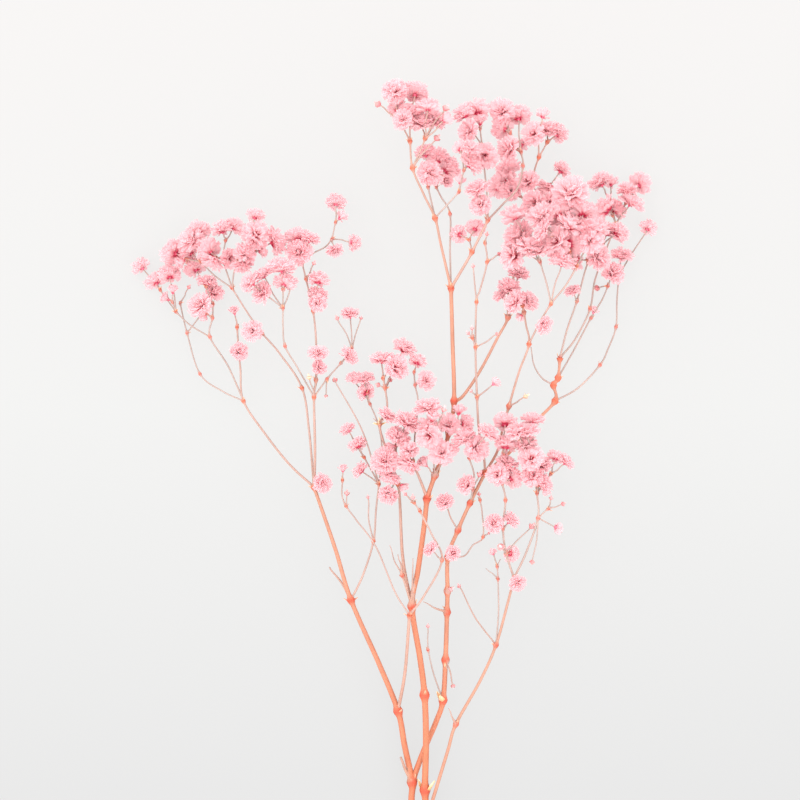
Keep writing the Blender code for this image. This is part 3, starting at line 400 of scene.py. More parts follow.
limb("third_right_branch", "salmon", (0.32, 0.28),
     ["third_top_fork", "third_bend", "third_right_fork", (566, 285, 43), "third_right_top"],
     [("third_bend", [(545, 326, 40, 6.6, 0)]),
      ("third_right_fork", [(563, 259, 46, 9, 0.1)])])
limb("crown_front_left_sprig", "pink", (0.28, 0.24),
     ["third_right_fork", (547, 285, 41), (540, 262, 42)],
     [("end", [(537, 249, 46, 6.4, 0)]),
      ("end", [(511, 255, 40, 8.6, 0.5), (530, 244, 44, 8.2, 0.1)]),
      ("end", [(517, 234, 38, 9, 0.5), (513, 213, 40, 8.6, 0.1)])])
limb("crown_front_middle_sprig", "pink", (0.28, 0.24),
     ["third_right_top", (570, 252, 46)],
     [("end", [(555, 241, 48, 8.6, 0.5), (571, 241, 44, 8.2, 0.1)]),
      ("end", [(541, 229, 50, 6.4, 0.2), (540, 214, 47, 7.8, 0.5)]),
      ("end", [(556, 212, 44, 8.2, 0), (572, 222, 49, 8.6, 0.2)])])
limb("crown_front_right_sprig", "pink", (0.28, 0.24),
     ["third_right_top", (585, 250, 47)],
     [("end", [(592, 241, 50, 7.6, 0.3), (593, 226, 46, 8.6, 0.1)]),
      ("end", [(584, 211, 44, 8.2, 0.1), (570, 190, 46, 10, 0.5)])])
limb("right_branch", "salmon", (0.62, 0.5),
     ["orange_elbow", (510, 452, 22), (532, 425, 18), "right_branch_fork",
      "right_branch_elbow", "right_branch_knee", "right_branch_top"])
limb("elbow_arc_sprig", "pink", (0.3, 0.16),
     ["right_branch_elbow", (542, 378, 15), (534, 365, 16), (531, 347, 17)])
limb("right_inner_sprig", "pink", (0.35, 0.28),
     ["right_branch_top", (567, 330, 17), "right_inner_knee", (584, 275, 24), (588, 262, 26)],
     [("right_inner_knee", [(572, 290, 24, 6.6, 0.1)]),
      ("end", [(600, 256, 32, 8.8, 0.2), (575, 260, 24, 6.6, 0.1)]),
      ("end", [(609, 229, 30, 8.2, 0.1), (620, 231, 33, 7.8, 0.1)])])
limb("right_mid_sprig", "pink", (0.35, 0.28),
     ["right_branch_top", (576, 338, 12), "right_mid_knee", (595, 280, 9), (606, 250, 10),
      (616, 225, 11)],
     [("end", [(599, 180, 10, 9, 0.1), (611, 183, 3, 5.8, 0)]),
      ("end", [(603, 207, 15, 9, 0), (617, 208, 12, 6.8, 0)]),
      ("end", [(641, 182, 8, 8.2, 0.1), (627, 188, 14, 6.8, 0)]),
      ("end", [(633, 200, 16, 9, 0.2)])])
limb("right_low_sprig", "pink", (0.3, 0.25),
     ["right_branch_knee", (574, 350, 9), "right_low_knee", (602, 300, 7), (608, 286, 9)],
     [("right_low_knee", [(594, 311, 5.5, 5, 0)]),
      ("end", [(614, 272, 13, 9, 0.3)]),
      ("end", [(597, 288, 5.5, 3.6, 0)])])
limb("right_outer_sprig", "pink", (0.32, 0.25),
     ["right_branch_fork", (578, 388, 12), "right_outer_knee", (608, 349, 8),
      "right_outer_high_knee", (617, 300, 6), (619, 275, 5)],
     [("end", [(622, 254, 4.2, 8.2, 0.3)]),
      ("end", [(649, 227, 4, 7.4, 0)])])

# Limbs of the right stem, from its slender joints
limb("trident_right_sprig", "salmon", (0.25, 0.22),
     ["right_trident", (464, 556, 21), (473, 545, 22), "trident_knee", (482, 512, 27),
      (480, 500, 28)],
     [("trident_knee", [(489, 533, 24, 2, 0)]),
      ("end", [(479, 494, 28, 2.4, 0)])])
limb("elbow_sprig", "pink", (0.3, 0.26),
     ["elbow_fork", "elbow_high_knee", (474, 474, 34), (469, 458, 37)],
     [("elbow_high_knee", [(465, 484, 35, 8.6, 0.2)]),
      ("elbow_high_knee", [(480, 474, 33, 3.8, 0)]),
      ("end", [(463, 436, 39, 8, 0.1), (478, 448, 41, 8.6, 0.3)]),
      ("end", [(489, 431, 43, 7, 0.2)])])

# Limbs of the far right branch
limb("lower_inner_sprig", "pink", (0.4, 0.3),
     ["outer_trident", "lower_inner_low", "lower_inner_mid", "lower_inner_high",
      (502, 483, 36)],
     [("lower_inner_low", [(501, 547, 32, 4.2, 0.3)]),
      ("lower_inner_low", [(512, 554, 24, 6.4, 0.1)]),
      ("lower_inner_low", [(532, 526, 26, 3.8, 0)]),
      ("lower_inner_mid", [(493.5, 523, 36, 7.8, 0.6)]),
      ("lower_inner_mid", [(512, 519, 33, 7.6, 0.2)]),
      ("end", [(497, 474, 40, 8.2, 0.4), (508, 461, 36, 7.2, 0.3)]),
      ("end", [(506, 443, 38, 7.4, 0), (505, 421, 36, 7.8, 0)]),
      ("end", [(514, 477, 33, 7.4, 0.1)])])
limb("lower_outer_sprig", "pink", (0.4, 0.3),
     ["outer_trident", (526, 553, 27), "lower_outer_fork", (537, 493, 33)],
     [("lower_outer_fork", [(563, 504, 31, 2.8, 0), (551, 498, 33, 2.4, 0)]),
      ("lower_outer_fork", [(557, 528, 25, 6.2, 0.1)]),
      ("lower_outer_fork", [(532, 562, 26, 3, 0)]),
      ("end", [(532, 475, 38, 7.4, 0.5), (545, 483, 34, 8.6, 0.2)]),
      ("end", [(531, 458, 42, 8.2, 0.4), (526, 443, 38, 7.4, 0.1)]),
      ("end", [(527, 430, 42, 7.8, 0), (533, 418, 37, 8.2, 0), (515, 430, 44, 7.2, 0.1)]),
      ("end", [(556, 456, 32, 6.4, 0), (568, 461, 34, 6.8, 0.1)]),
      ("end", [(542, 463, 34, 7, 0.3)])])


def seen(across, down, height):
    """The point in mm that is seen at this place in the photo, at this height."""
    spread = MM_PER_PIXEL * (VIEW_HEIGHT - height) / (VIEW_HEIGHT - TRUE_SCALE_HEIGHT)
    x = (across - PHOTO_MIDDLE) * spread + CENTRE_X
    y = (PHOTO_MIDDLE - down) * spread + CENTRE_Y
    return Vector((x, y, height))


def point(place):
    """The point in mm of a joint's name or of a place in the photo."""
    return seen(*JOINTS[place]) if isinstance(place, str) else seen(*place)


def linear(hex_colour):
    """An sRGB hex colour as the linear colour that a shader takes."""
    channels = [int(hex_colour[i:i + 2], 16) / 255 for i in (0, 2, 4)]
    steps = [c / 12.92 if c <= 0.04045 else ((c + 0.055) / 1.055) ** 2.4 for c in channels]
    return (*steps, 1.0)


def add_node(material, kind, links=(), values=(), **settings):
    """Adds a node. A link is (its own input, another node, that node's output).

    The values are those of its own inputs that nothing is linked to.
    """
    node = material.node_tree.nodes.new("ShaderNode" + kind)
    for name, value in settings.items():
        setattr(node, name, value)
    for own_input, value in dict(values).items():
        node.inputs[own_input].default_value = value
    for own_input, source, output in links:
        material.node_tree.links.new(source.outputs[output], node.inputs[own_input])
    return node


def blank_material(name):
    material = bpy.data.materials.new(name)
    material.use_nodes = True
    material.node_tree.nodes.clear()
    return material


def set_ramp(ramp, stops):
    """Colour stops as (position, hex colour)."""
    elements = ramp.color_ramp.elements
    while len(elements) < len(stops):
        elements.new(0.5)
    for element, (position, colour) in zip(elements, stops):
        element.position = position
        element.color = linear(colour)


# Dyed and glycerine-preserved petals: thin as tissue, so light comes through them and what
# lies behind shows faintly, pale at the frilled edge and soaked with dye at the claw, with
# faint veins along each petal.
def tissue_petal(name, claw, throat, blade, edge):
    material = blank_material(name)
    along = add_node(material, "UVMap", uv_map="UVMap")
    split = add_node(material, "SeparateXYZ", [(0, along, "UV")])
    flower = add_node(material, "Attribute", attribute_name="flower_tone")
    petal = add_node(material, "Attribute", attribute_name="petal_tone")
    place = add_node(material, "TexCoord")
    mottle = add_node(material, "TexNoise", [("Vector", place, "Object")],
                      values={"Scale": MOTTLES_PER_METRE, "Detail": 3})
    mottle_shift = add_node(material, "Math", [(0, mottle, "Fac")],
                            operation="MULTIPLY_ADD", values={1: MOTTLE_SHARE, 2: -MOTTLE_SHARE / 2})
    flower_shift = add_node(material, "Math", [(0, flower, "Fac"), (2, mottle_shift, 0)],
                            operation="MULTIPLY_ADD", values={1: 1})
    petal_shift = add_node(material, "Math", [(0, petal, "Fac"), (1, flower_shift, 0)],
                           operation="ADD")
    depth = add_node(material, "Math", [(0, split, "Y"), (1, petal_shift, 0)], operation="ADD")
    ramp = add_node(material, "ValToRGB", [(0, depth, 0)])
    set_ramp(ramp, [(0.03, claw), (0.24, throat), (0.5, blade), (0.9, edge)])
    vein = add_node(material, "Math", [(0, split, "X")], operation="MULTIPLY",
                    values={1: VEINS_ACROSS * math.tau})
    vein_wave = add_node(material, "Math", [(0, vein, 0)], operation="SINE")
    relief = add_node(material, "Bump", [("Height", vein_wave, 0)],
                      values={"Strength": 0.25, "Distance": 0.02 * MM})
    skin = add_node(material, "BsdfPrincipled",
                    [("Base Color", ramp, "Color"), ("Normal", relief, "Normal")],
                    values={"Roughness": 0.7, "Specular IOR Level": 0.25, "Sheen Weight": 0.15})
    glow = add_node(material, "BsdfTranslucent", [("Color", ramp, "Color")])
    both = add_node(material, "MixShader", [(1, skin, 0), (2, glow, 0)], values={0: LIGHT_THROUGH})
    gaps = add_node(material, "BsdfTransparent")
    tissue = add_node(material, "MixShader", [(1, both, 0), (2, gaps, 0)],
                      values={0: SEEN_THROUGH})
    add_node(material, "OutputMaterial", [("Surface", tissue, 0)])
    return material


# Dyed bark of a soft green stem: smooth and dull, coral where it is thick and greyer pink
# where it is hair-thin, redder on the swollen joints, with fine streaks along it.
def dyed_bark(name, thin, slim, middle, thick, stout, joint):
    material = blank_material(name)
    girth = add_node(material, "Attribute", attribute_name="girth")
    swelling = add_node(material, "Attribute", attribute_name="swelling")
    place = add_node(material, "TexCoord")
    stretch = add_node(material, "Mapping", [("Vector", place, "Object")],
                       values={"Scale": (1, STREAK_WIDTH / STREAK_LENGTH, 1)})
    streak = add_node(material, "TexNoise", [("Vector", stretch, 0)],
                      values={"Scale": 1 / (STREAK_WIDTH * MM), "Detail": 4})
    blotch = add_node(material, "TexNoise", [("Vector", place, "Object")],
                      values={"Scale": BLOTCHES_PER_METRE})
    ramp = add_node(material, "ValToRGB", [(0, girth, "Fac")])
    set_ramp(ramp, [(0.12, thin), (0.28, slim), (0.4, middle), (0.52, thick), (0.68, stout)])
    knob = add_node(material, "Mix", [(0, swelling, "Fac"), (6, ramp, "Color")],
                    data_type="RGBA", values={7: linear(joint)})
    tone = add_node(material, "Math", [(0, streak, "Fac"), (1, blotch, "Fac")], operation="ADD")
    lightness = add_node(material, "MapRange", [(0, tone, 0)],
                         values={"From Min": 0.6, "From Max": 1.4, "To Min": 0.8, "To Max": 1.18})
    colour = add_node(material, "HueSaturation", [("Value", lightness, 0), ("Color", knob, 2)])
    relief = add_node(material, "Bump", [("Height", streak, "Fac")],
                      values={"Strength": 0.35, "Distance": 0.08 * MM})
    bark = add_node(material, "BsdfPrincipled",
                    [("Base Color", colour, "Color"), ("Normal", relief, "Normal")],
                    values={"Roughness": 0.55, "Specular IOR Level": 0.35,
                            "Subsurface Weight": 0.15, "Subsurface Scale": 1,
                            "Subsurface Radius": (0.6 * MM, 0.3 * MM, 0.2 * MM)})
    add_node(material, "OutputMaterial", [("Surface", bark, 0)])
    return material


# Papery calyx, bud scale or bract: thin dry tissue full of dye, darkest at its foot.
def papery_calyx(name, foot, body, tip):
    material = blank_material(name)
    along = add_node(material, "UVMap", uv_map="UVMap")
    split = add_node(material, "SeparateXYZ", [(0, along, "UV")])
    flower = add_node(material, "Attribute", attribute_name="flower_tone")
    place = add_node(material, "TexCoord")
    mottle = add_node(material, "TexNoise", [("Vector", place, "Object")],
                      values={"Scale": MOTTLES_PER_METRE})
    shift = add_node(material, "Math", [(0, mottle, "Fac"), (2, split, "Y")],
                     operation="MULTIPLY_ADD", values={1: 0.3})
    depth = add_node(material, "Math", [(0, flower, "Fac"), (2, shift, 0)],
                     operation="MULTIPLY_ADD", values={1: 1})
    ramp = add_node(material, "ValToRGB", [(0, depth, 0)])
    set_ramp(ramp, [(0.1, foot), (0.55, body), (1.0, tip)])
    skin = add_node(material, "BsdfPrincipled", [("Base Color", ramp, "Color")],
                    values={"Roughness": 0.6, "Specular IOR Level": 0.3,
                            "Subsurface Weight": 0.2, "Subsurface Scale": 1,
                            "Subsurface Radius": (0.5 * MM, 0.25 * MM, 0.2 * MM)})
    add_node(material, "OutputMaterial", [("Surface", skin, 0)])
    return material


# Cut pith at the foot of the stem: pale, dry and matt, with the grain of a snipped end.
def cut_pith(name):
    material = blank_material(name)
    place = add_node(material, "TexCoord")
    grain = add_node(material, "TexNoise", [("Vector", place, "Object")],
                     values={"Scale": 1 / (PITH_GRAIN * MM)})
    ramp = add_node(material, "ValToRGB", [(0, grain, "Fac")])
    set_ramp(ramp, [(0.3, "C9A27E"), (0.7, "EBD6B4")])
    pith = add_node(material, "BsdfPrincipled", [("Base Color", ramp, "Color")],
                    values={"Roughness": 0.9})
    add_node(material, "OutputMaterial", [("Surface", pith, 0)])
    return material


# How fine and how strong each pattern is, with widths and lengths in mm, and how much of the
# light that falls on a petal comes out behind it or passes straight through
MOTTLES_PER_METRE = 450
MOTTLE_SHARE = 0.2
BLOTCHES_PER_METRE = 70
VEINS_ACROSS = 4
STREAK_WIDTH = 0.35
STREAK_LENGTH = 6.0
PITH_GRAIN = 0.25
LIGHT_THROUGH = 0.6
SEEN_THROUGH = 0.32

PETALS = tissue_petal("preserved_petal_tissue", "EE5E82", "FFDADE", "FFE8EB", "FFDFE3")
BARKS = {
    "coral": dyed_bark("dyed_stem_coral", "B09086", "B68672", "BC7E66", "C0765A", "C87250",
                       "C4523C"),
    "salmon": dyed_bark("dyed_stalk_salmon", "B0948C", "B68E80", "BA8672", "C07E66", "C6785A",
                        "CC6449"),
    "pink": dyed_bark("dyed_stalk_greyish_pink", "AC968F", "B4968C", "B88E80", "BE8672",
                      "C27E66", "CA685A"),
}
CALYX = papery_calyx("papery_calyx_crimson", "D24A68", "E6708A", "F6A8B4")
BRACT = papery_calyx("papery_bract_russet", "BE5840", "D07C60", "DDAE90")
STRAW = papery_calyx("papery_bract_straw", "C8925E", "DAB284", "EAD0AA")
BUD_CUP = papery_calyx("papery_bud_cup", "C96A6E", "DE8A8C", "EFB2B0")
BUD_PETALS = papery_calyx("furled_bud_petals", "E88E97", "EFA6AB", "F3BDBE")
WITHERED_BUD = papery_calyx("withered_bud_orange", "D89070", "E6AE8C", "EFCDB4")
PITH = cut_pith("dry_cut_pith")


# Making and shaping meshes
def only(piece):
    """Makes a piece the one selected and active object."""
    bpy.ops.object.select_all(action="DESELECT")
    piece.select_set(True)
    bpy.context.view_layer.objects.active = piece
    return piece


def apply_modifiers(piece):
    only(piece)
    for modifier in list(piece.modifiers):
        bpy.ops.object.modifier_apply(modifier=modifier.name)


def joined(name, pieces):
    """Joins pieces into one, named, with its place in its mesh."""
    bpy.ops.object.select_all(action="DESELECT")
    for piece in pieces:
        piece.select_set(True)
    bpy.context.view_layer.objects.active = pieces[0]
    if len(pieces) > 1:
        bpy.ops.object.join()
    whole = bpy.context.view_layer.objects.active
    bpy.ops.object.transform_apply(location=True, rotation=True, scale=True)
    whole.name = name
    whole.data.name = name
    return whole


def copy_of(model, placing, tone):
    """A copy of a modelled thing with its own mesh, put in place and given its tone."""
    mesh = model.data.copy()
    mesh.transform(placing)
    attribute = mesh.attributes.get("flower_tone")
    if attribute is None:
        attribute = mesh.attributes.new("flower_tone", "FLOAT", "POINT")
    attribute.data.foreach_set("value", [tone] * len(mesh.vertices))
    piece = bpy.data.objects.new(model.name + "_copy", mesh)
    bpy.context.scene.collection.objects.link(piece)
    return piece


def lowest(piece):
    return min(corner.co.z for corner in piece.data.vertices)


def put_away(model):
    bpy.data.objects.remove(model)


# A petal: narrow at its claw, broad and frilled at its tip, cupped along its middle. Its
# thickness, frill and cup are in flower widths, its notch and rounding in petal lengths.
PETAL_ROWS = 4
PETAL_COLUMNS = 3
PETAL_WIDTHS = (0.3, 0.62, 1.0, 0.72)
PETAL_THICKNESS = 0.011
FRILL = 0.045
CUP = 0.2
NOTCH = 0.10
ROUNDING = 0.05
SHARP_EDGE = math.radians(50)


def flat_petal(name, width, length, draws):
    """A petal that stands up from the origin in the XZ plane, in flower widths."""
    bpy.ops.mesh.primitive_grid_add(x_subdivisions=PETAL_COLUMNS - 1,
                                    y_subdivisions=PETAL_ROWS - 1, size=1)
    petal = bpy.context.object
    petal.name = name
    for corner in petal.data.vertices:
        across, along = corner.co.x, corner.co.y + 0.5
        row = round(along * (PETAL_ROWS - 1))
        side = across * PETAL_WIDTHS[row] * width
        cupped = CUP * width * (1 - (2 * across) ** 2)
        at_tip = row == PETAL_ROWS - 1
        in_middle = abs(across) < 0.1
        at_side = abs(across) > 0.4
        frill = draws.uniform(-FRILL, FRILL) if row > 1 else 0
        notch = -NOTCH * length if at_tip and in_middle else 0
        rounding = -ROUNDING * length if at_tip and at_side else 0
        corner.co = (side, cupped + frill, along * length + notch + rounding)
    wall = petal.modifiers.new("tissue", "SOLIDIFY")
    wall.thickness = PETAL_THICKNESS
    wall.offset = 0
    apply_modifiers(petal)
    return petal


def bent(petal, angle):
    """The petal curls outwards, towards +Y, by this angle from claw to tip."""
    curl = petal.modifiers.new("curl", "SIMPLE_DEFORM")
    curl.deform_method = "BEND"
    curl.deform_axis = "X"
    curl.angle = math.radians(angle)
    apply_modifiers(petal)
    bpy.ops.object.shade_smooth_by_angle(angle=SHARP_EDGE)
    return petal


# The rings of a double flower from its heart outwards: how many petals, how far they lean
# at the claw, how far they curl, their length and width in flower widths, and how much
# deeper than usual the dye has soaked in
OPEN_RINGS = (
    (7, 7, -6, 0.58, 0.16, 0.34),
    (11, 12, 30, 0.70, 0.20, 0.06),
    (15, 23, 42, 0.75, 0.22, 0),
    (17, 37, 48, 0.70, 0.24, 0),
    (16, 52, 50, 0.62, 0.25, 0),
    (12, 66, 46, 0.53, 0.25, 0),
)
LOOSE_RINGS = (
    (7, 8, -4, 0.52, 0.16, 0.36),
    (11, 18, 30, 0.66, 0.20, 0.06),
    (15, 30, 40, 0.74, 0.23, 0),
    (16, 45, 46, 0.68, 0.25, 0),
    (13, 60, 44, 0.58, 0.26, 0),
)
CLOSED_RINGS = (
    (5, 2, 10, 0.70, 0.18, 0.10),
    (9, 8, 18, 0.78, 0.20, 0),
    (13, 14, 26, 0.78, 0.22, 0),
    (13, 23, 34, 0.70, 0.24, 0),
)

# Where the claws sit under the heart in flower widths, and how much petals vary, in degrees
# where they turn
CLAW_HEIGHT = -0.27
CLAW_OUT = 0.02
CLAW_OUT_PER_LEAN = 0.001
PETAL_VARIETY = 0.08
TWIST_VARIETY = 32
LEAN_VARIETY = 13
SPIN_VARIETY = 9
SHORTEST = 0.84
LONGEST = 1.06
NARROWEST = 0.85
WIDEST = 1.15
GOLDEN_ANGLE = 137.508


def flower(name, rings, draws):
    """One flower, a unit wide, with its stalk coming up from below and its heart at the top."""
    petals = []
    turn = 0
    for count, lean, curl, length, width, soaked in rings:
        model = bent(flat_petal("petal", width, length, draws), curl)
        for _ in range(count):
            turn += GOLDEN_ANGLE
            twisted = draws.uniform(-TWIST_VARIETY, TWIST_VARIETY)
            twist = Matrix.Rotation(math.radians(twisted), 4, "Z")
            leaning = lean + draws.uniform(-LEAN_VARIETY, LEAN_VARIETY)
            tilt = Matrix.Rotation(-math.radians(leaning), 4, "X")
            turned = turn + draws.uniform(-SPIN_VARIETY, SPIN_VARIETY)
            spin = Matrix.Rotation(math.radians(turned), 4, "Z")
            reach = draws.uniform(SHORTEST, LONGEST)
            size = Matrix.Diagonal((draws.uniform(NARROWEST, WIDEST), reach, reach, 1))
            claw = Matrix.Translation((0, CLAW_OUT + lean * CLAW_OUT_PER_LEAN, CLAW_HEIGHT))
            petal = copy_of(model, spin @ claw @ tilt @ twist @ size, 0)
            tones = petal.data.attributes.new("petal_tone", "FLOAT", "POINT")
            tone = draws.uniform(-1, 1) * PETAL_VARIETY - soaked
            tones.data.foreach_set("value", [tone] * len(petal.data.vertices))
            petals.append(petal)
        put_away(model)
    return joined(name, petals)


# The cups and the furled bud, as rings of radius and height in flower widths
CALYX_RINGS = ((0.035, -0.42), (0.09, -0.38), (0.125, -0.29), (0.135, -0.20))
CALYX_TEETH = 0.08
BUD_RINGS = ((0.04, -0.48), (0.22, -0.38), (0.38, -0.20), (0.43, -0.04))
BUD_TEETH = 0.14
BUD_TIP_RINGS = ((0.26, -0.24), (0.42, -0.02), (0.43, 0.2), (0.28, 0.42), (0.1, 0.5))
CUP_SIDES = 10
HOLLOW = 0.8


def turned_body(name, rings, sides, teeth=0.0):
    """A body turned about Z from rings of (radius, height), closed at both ends.

    It starts as a cylinder, and with teeth its last ring rises at every other corner.
    """
    bpy.ops.mesh.primitive_cylinder_add(vertices=sides, radius=1, depth=1,
                                        end_fill_type="TRIFAN")
    body = bpy.context.object
    body.name = name
    bpy.ops.object.mode_set(mode="EDIT")
    bpy.ops.mesh.select_all(action="DESELECT")
    bpy.ops.object.mode_set(mode="OBJECT")
    for edge in body.data.edges:
        low, high = (body.data.vertices[i].co for i in edge.vertices)
        on_wall = min(low.xy.length, high.xy.length) > 0.5
        edge.select = on_wall and abs(low.z - high.z) > 0.9
    bpy.ops.object.mode_set(mode="EDIT")
    bpy.ops.mesh.subdivide_edgering(number_cuts=len(rings) - 2, interpolation="LINEAR",
                                    smoothness=0)
    bpy.ops.object.mode_set(mode="OBJECT")
    steps = len(rings) - 1
    for corner in body.data.vertices:
        row = round((corner.co.z + 0.5) * steps)
        radius, height = rings[row]
        flat = corner.co.xy.length
        if flat > 0.5:
            around = math.atan2(corner.co.y, corner.co.x) / math.tau * sides
            raised = teeth if row == steps and round(around) % 2 else 0
            corner.co = (corner.co.x * radius, corner.co.y * radius, height + raised)
        else:
            sunk = teeth * HOLLOW if row == steps else 0
            corner.co = (0, 0, height - sunk)
    bottom = min(height for _, height in rings)
    span = max(height for _, height in rings) + teeth - bottom
    layer = body.data.uv_layers.active or body.data.uv_layers.new(name="UVMap")
    layer.name = "UVMap"
    for loop in body.data.loops:
        place = body.data.vertices[loop.vertex_index].co
        layer.data[loop.index].uv = (0.5, (place.z - bottom) / span)
    body.data.shade_smooth()
    return body


# A bract: a small pointed scale, hollow on its inner side, measured in its own length
BRACT_WIDTH = 0.55
BRACT_WIDTHS = (0.7, 1.0, 0.62, 0.06)
BRACT_CUP = 0.12
BRACT_LEAN = 0.1
BRACT_THICKNESS = 0.06


def bract_model():
    """One scale that stands up from the origin, one unit long, its hollow side to -Y."""
    bpy.ops.mesh.primitive_grid_add(x_subdivisions=2, y_subdivisions=3, size=1)
    scale = bpy.context.object
    scale.name = "bract"
    for corner in scale.data.vertices:
        across, along = corner.co.x, corner.co.y + 0.5
        row = round(along * (len(BRACT_WIDTHS) - 1))
        side = across * BRACT_WIDTHS[row] * BRACT_WIDTH
        cupped = BRACT_CUP * (1 - (2 * across) ** 2)
        corner.co = (side, cupped + BRACT_LEAN * along, along)
    wall = scale.modifiers.new("tissue", "SOLIDIFY")
    wall.thickness = BRACT_THICKNESS
    wall.offset = 0
    apply_modifiers(scale)
    bpy.ops.object.shade_smooth_by_angle(angle=SHARP_EDGE)
    return scale


# Stalks, in mm: the rim of bark round the cut end, the gap that is merged, the step along a
# run, how far a swollen joint reaches and how much it swells, how much fuller a stalk is
# than its CAD one, the limbs whose joints swell more, and how round a stalk is
RIM = 0.25
MERGE = 0.01
RUN_STEP = 0.8
KNOB_REACH = 1.15
LEAST_REACH = 0.45
KNOB_SWELL = 0.5
THIN_KNOB_SWELL = 0.35
FULLNESS = 1.1
EXTRA = 0.08
MOST_SWELL = 1.8
KNOTTY = {"right_branch": 1.6, "crown_long_branch": 1.4, "crown_left_sprig": 1.5,
          "third_branch": 1.4}
ROUNDNESS = 2


def smooth_run(points):
    """Points close together along a smooth curve through the given points."""
    ends = [points[0] * 2 - points[1]] + list(points) + [points[-1] * 2 - points[-2]]
    run = []
    for before, here, there, after in zip(ends, ends[1:], ends[2:], ends[3:]):
        steps = max(2, round((there - here).length / RUN_STEP))
        for step in range(steps):
            t = step / steps
            pull = (2 * here + (there - before) * t
                    + (2 * before - 5 * here + 4 * there - after) * t ** 2
                    + (3 * here - before - 3 * there + after) * t ** 3)
            run.append(pull * 0.5)
    run.append(points[-1])
    return run


def lengths_along(run):
    total = 0.0
    lengths = [0.0]
    for here, there in zip(run, run[1:]):
        total += (there - here).length
        lengths.append(total)
    return lengths


def swollen(run, start, end, knobs, knotty):
    """Each point's radius, and how far it is on a swollen joint, from 0 to 1."""
    lengths = lengths_along(run)
    radii = []
    swellings = []
    for place, length in zip(run, lengths):
        radius = (start + (end - start) * length / lengths[-1]) * FULLNESS + EXTRA
        reach = (KNOB_REACH * radius + LEAST_REACH) * math.sqrt(knotty)
        swelling = max([math.exp(-((place - knob).length / reach) ** 2) for knob in knobs] + [0])
        fullness = min(KNOB_SWELL + THIN_KNOB_SWELL / radius, MOST_SWELL) * knotty
        radii.append(min(radius * (1 + fullness * swelling), place.z))
        swellings.append(swelling)
    return radii, swellings


def stalks_mesh(name, runs):
    """One mesh of tubes, from runs of (points, radii, swellings, girths) in mm."""
    curve = bpy.data.curves.new(name, "CURVE")
    curve.dimensions = "3D"
    curve.bevel_depth = MM
    curve.bevel_resolution = ROUNDNESS
    curve.use_fill_caps = True
    for run, radii, _, _ in runs:
        spline = curve.splines.new("POLY")
        spline.points.add(len(run) - 1)
        for spot, place, radius in zip(spline.points, run, radii):
            spot.co = (*(place * MM), 1)
            spot.radius = radius
    stalk = bpy.data.objects.new(name, curve)
    bpy.context.scene.collection.objects.link(stalk)
    only(stalk)
    bpy.ops.object.convert(target="MESH")
    stalk = bpy.context.object
    bpy.ops.object.mode_set(mode="EDIT")
    bpy.ops.mesh.select_all(action="SELECT")
    bpy.ops.mesh.remove_doubles(threshold=MERGE * MM)
    bpy.ops.mesh.normals_make_consistent(inside=False)
    bpy.ops.object.mode_set(mode="OBJECT")
    places = [place for run, _, _, _ in runs for place in run]
    values = [value for _, _, swellings, girths in runs for value in zip(swellings, girths)]
    near = KDTree(len(places))
    for index, place in enumerate(places):
        near.insert(place * MM, index)
    near.balance()
    swelling = stalk.data.attributes.new("swelling", "FLOAT", "POINT")
    girth = stalk.data.attributes.new("girth", "FLOAT", "POINT")
    for index, corner in enumerate(stalk.data.vertices):
        swelling.data[index].value, girth.data[index].value = values[near.find(corner.co)[1]]
    stalk.data.shade_smooth()
    return stalk


def snip_end(stalk, run):
    """The cut end of the stem: a thin rim of bark round a slightly sunken face of pith."""
    along = (run[1] - run[0]).normalized()
    only(stalk)
    bpy.ops.object.mode_set(mode="EDIT")
    bpy.ops.mesh.select_mode(type="FACE")
    bpy.ops.mesh.select_all(action="DESELECT")
    bpy.ops.object.mode_set(mode="OBJECT")
    for face in stalk.data.polygons:
        at_foot = (face.center / MM - run[0]).length < RIM
        face.select = at_foot and face.normal.dot(along) < -0.9
    bpy.ops.object.mode_set(mode="EDIT")
    bpy.ops.mesh.inset(thickness=RIM * MM, depth=0)
    bpy.ops.mesh.inset(thickness=RIM * MM / 4, depth=-RIM * MM / 3)
    bpy.ops.object.mode_set(mode="OBJECT")
    for face in stalk.data.polygons:
        face.material_index = int(face.select)


def towards(direction, spin):
    """The turn that takes +Z to a direction, after a spin about +Z."""
    return direction.to_track_quat("Z", "Y").to_matrix().to_4x4() @ Matrix.Rotation(spin, 4, "Z")


def placed(centre, direction, spin, size):
    """The placing of a unit model at a centre in mm, at a size in mm."""
    where = Matrix.Translation(centre * MM)
    return where @ towards(direction, spin) @ Matrix.Diagonal((*(Vector(size) * MM), 1))


# Flowers: up to which sizes they are buds or half open, how much they vary, how far those
# that don't face up are turned down, and how much lone and crowded ones swell
BUD_LIMIT = 4.3
SMALL_LIMIT = 6.3
FLOWER_VARIETY = 0.1
FLOWER_SHAPES = ((0.94, 1.06), (0.94, 1.06), (0.9, 1.02))
FACING = 0.25
TURNED_AWAY = (0.1, 0.5)
SURFACE_GAP = 0.05
LONE_SWELL = 0.92
CROWDED_SWELL = 1.2
CROWD = 5
CROWD_REACH = 27
FULLER = {"crown_front_left_sprig": 1.14, "crown_front_middle_sprig": 1.14,
          "crown_front_right_sprig": 1.14, "third_right_branch": 1.12,
          "right_mid_sprig": 1.06, "right_inner_sprig": 1.08}
FLOWER_PLACES = [entry[:2] for each in LIMBS.values() for _, flowers in each["sprays"]
                 for entry in flowers if entry[3] > BUD_LIMIT]
WITHERED_BUDS = ((343, 469), (526, 396), (309, 377))

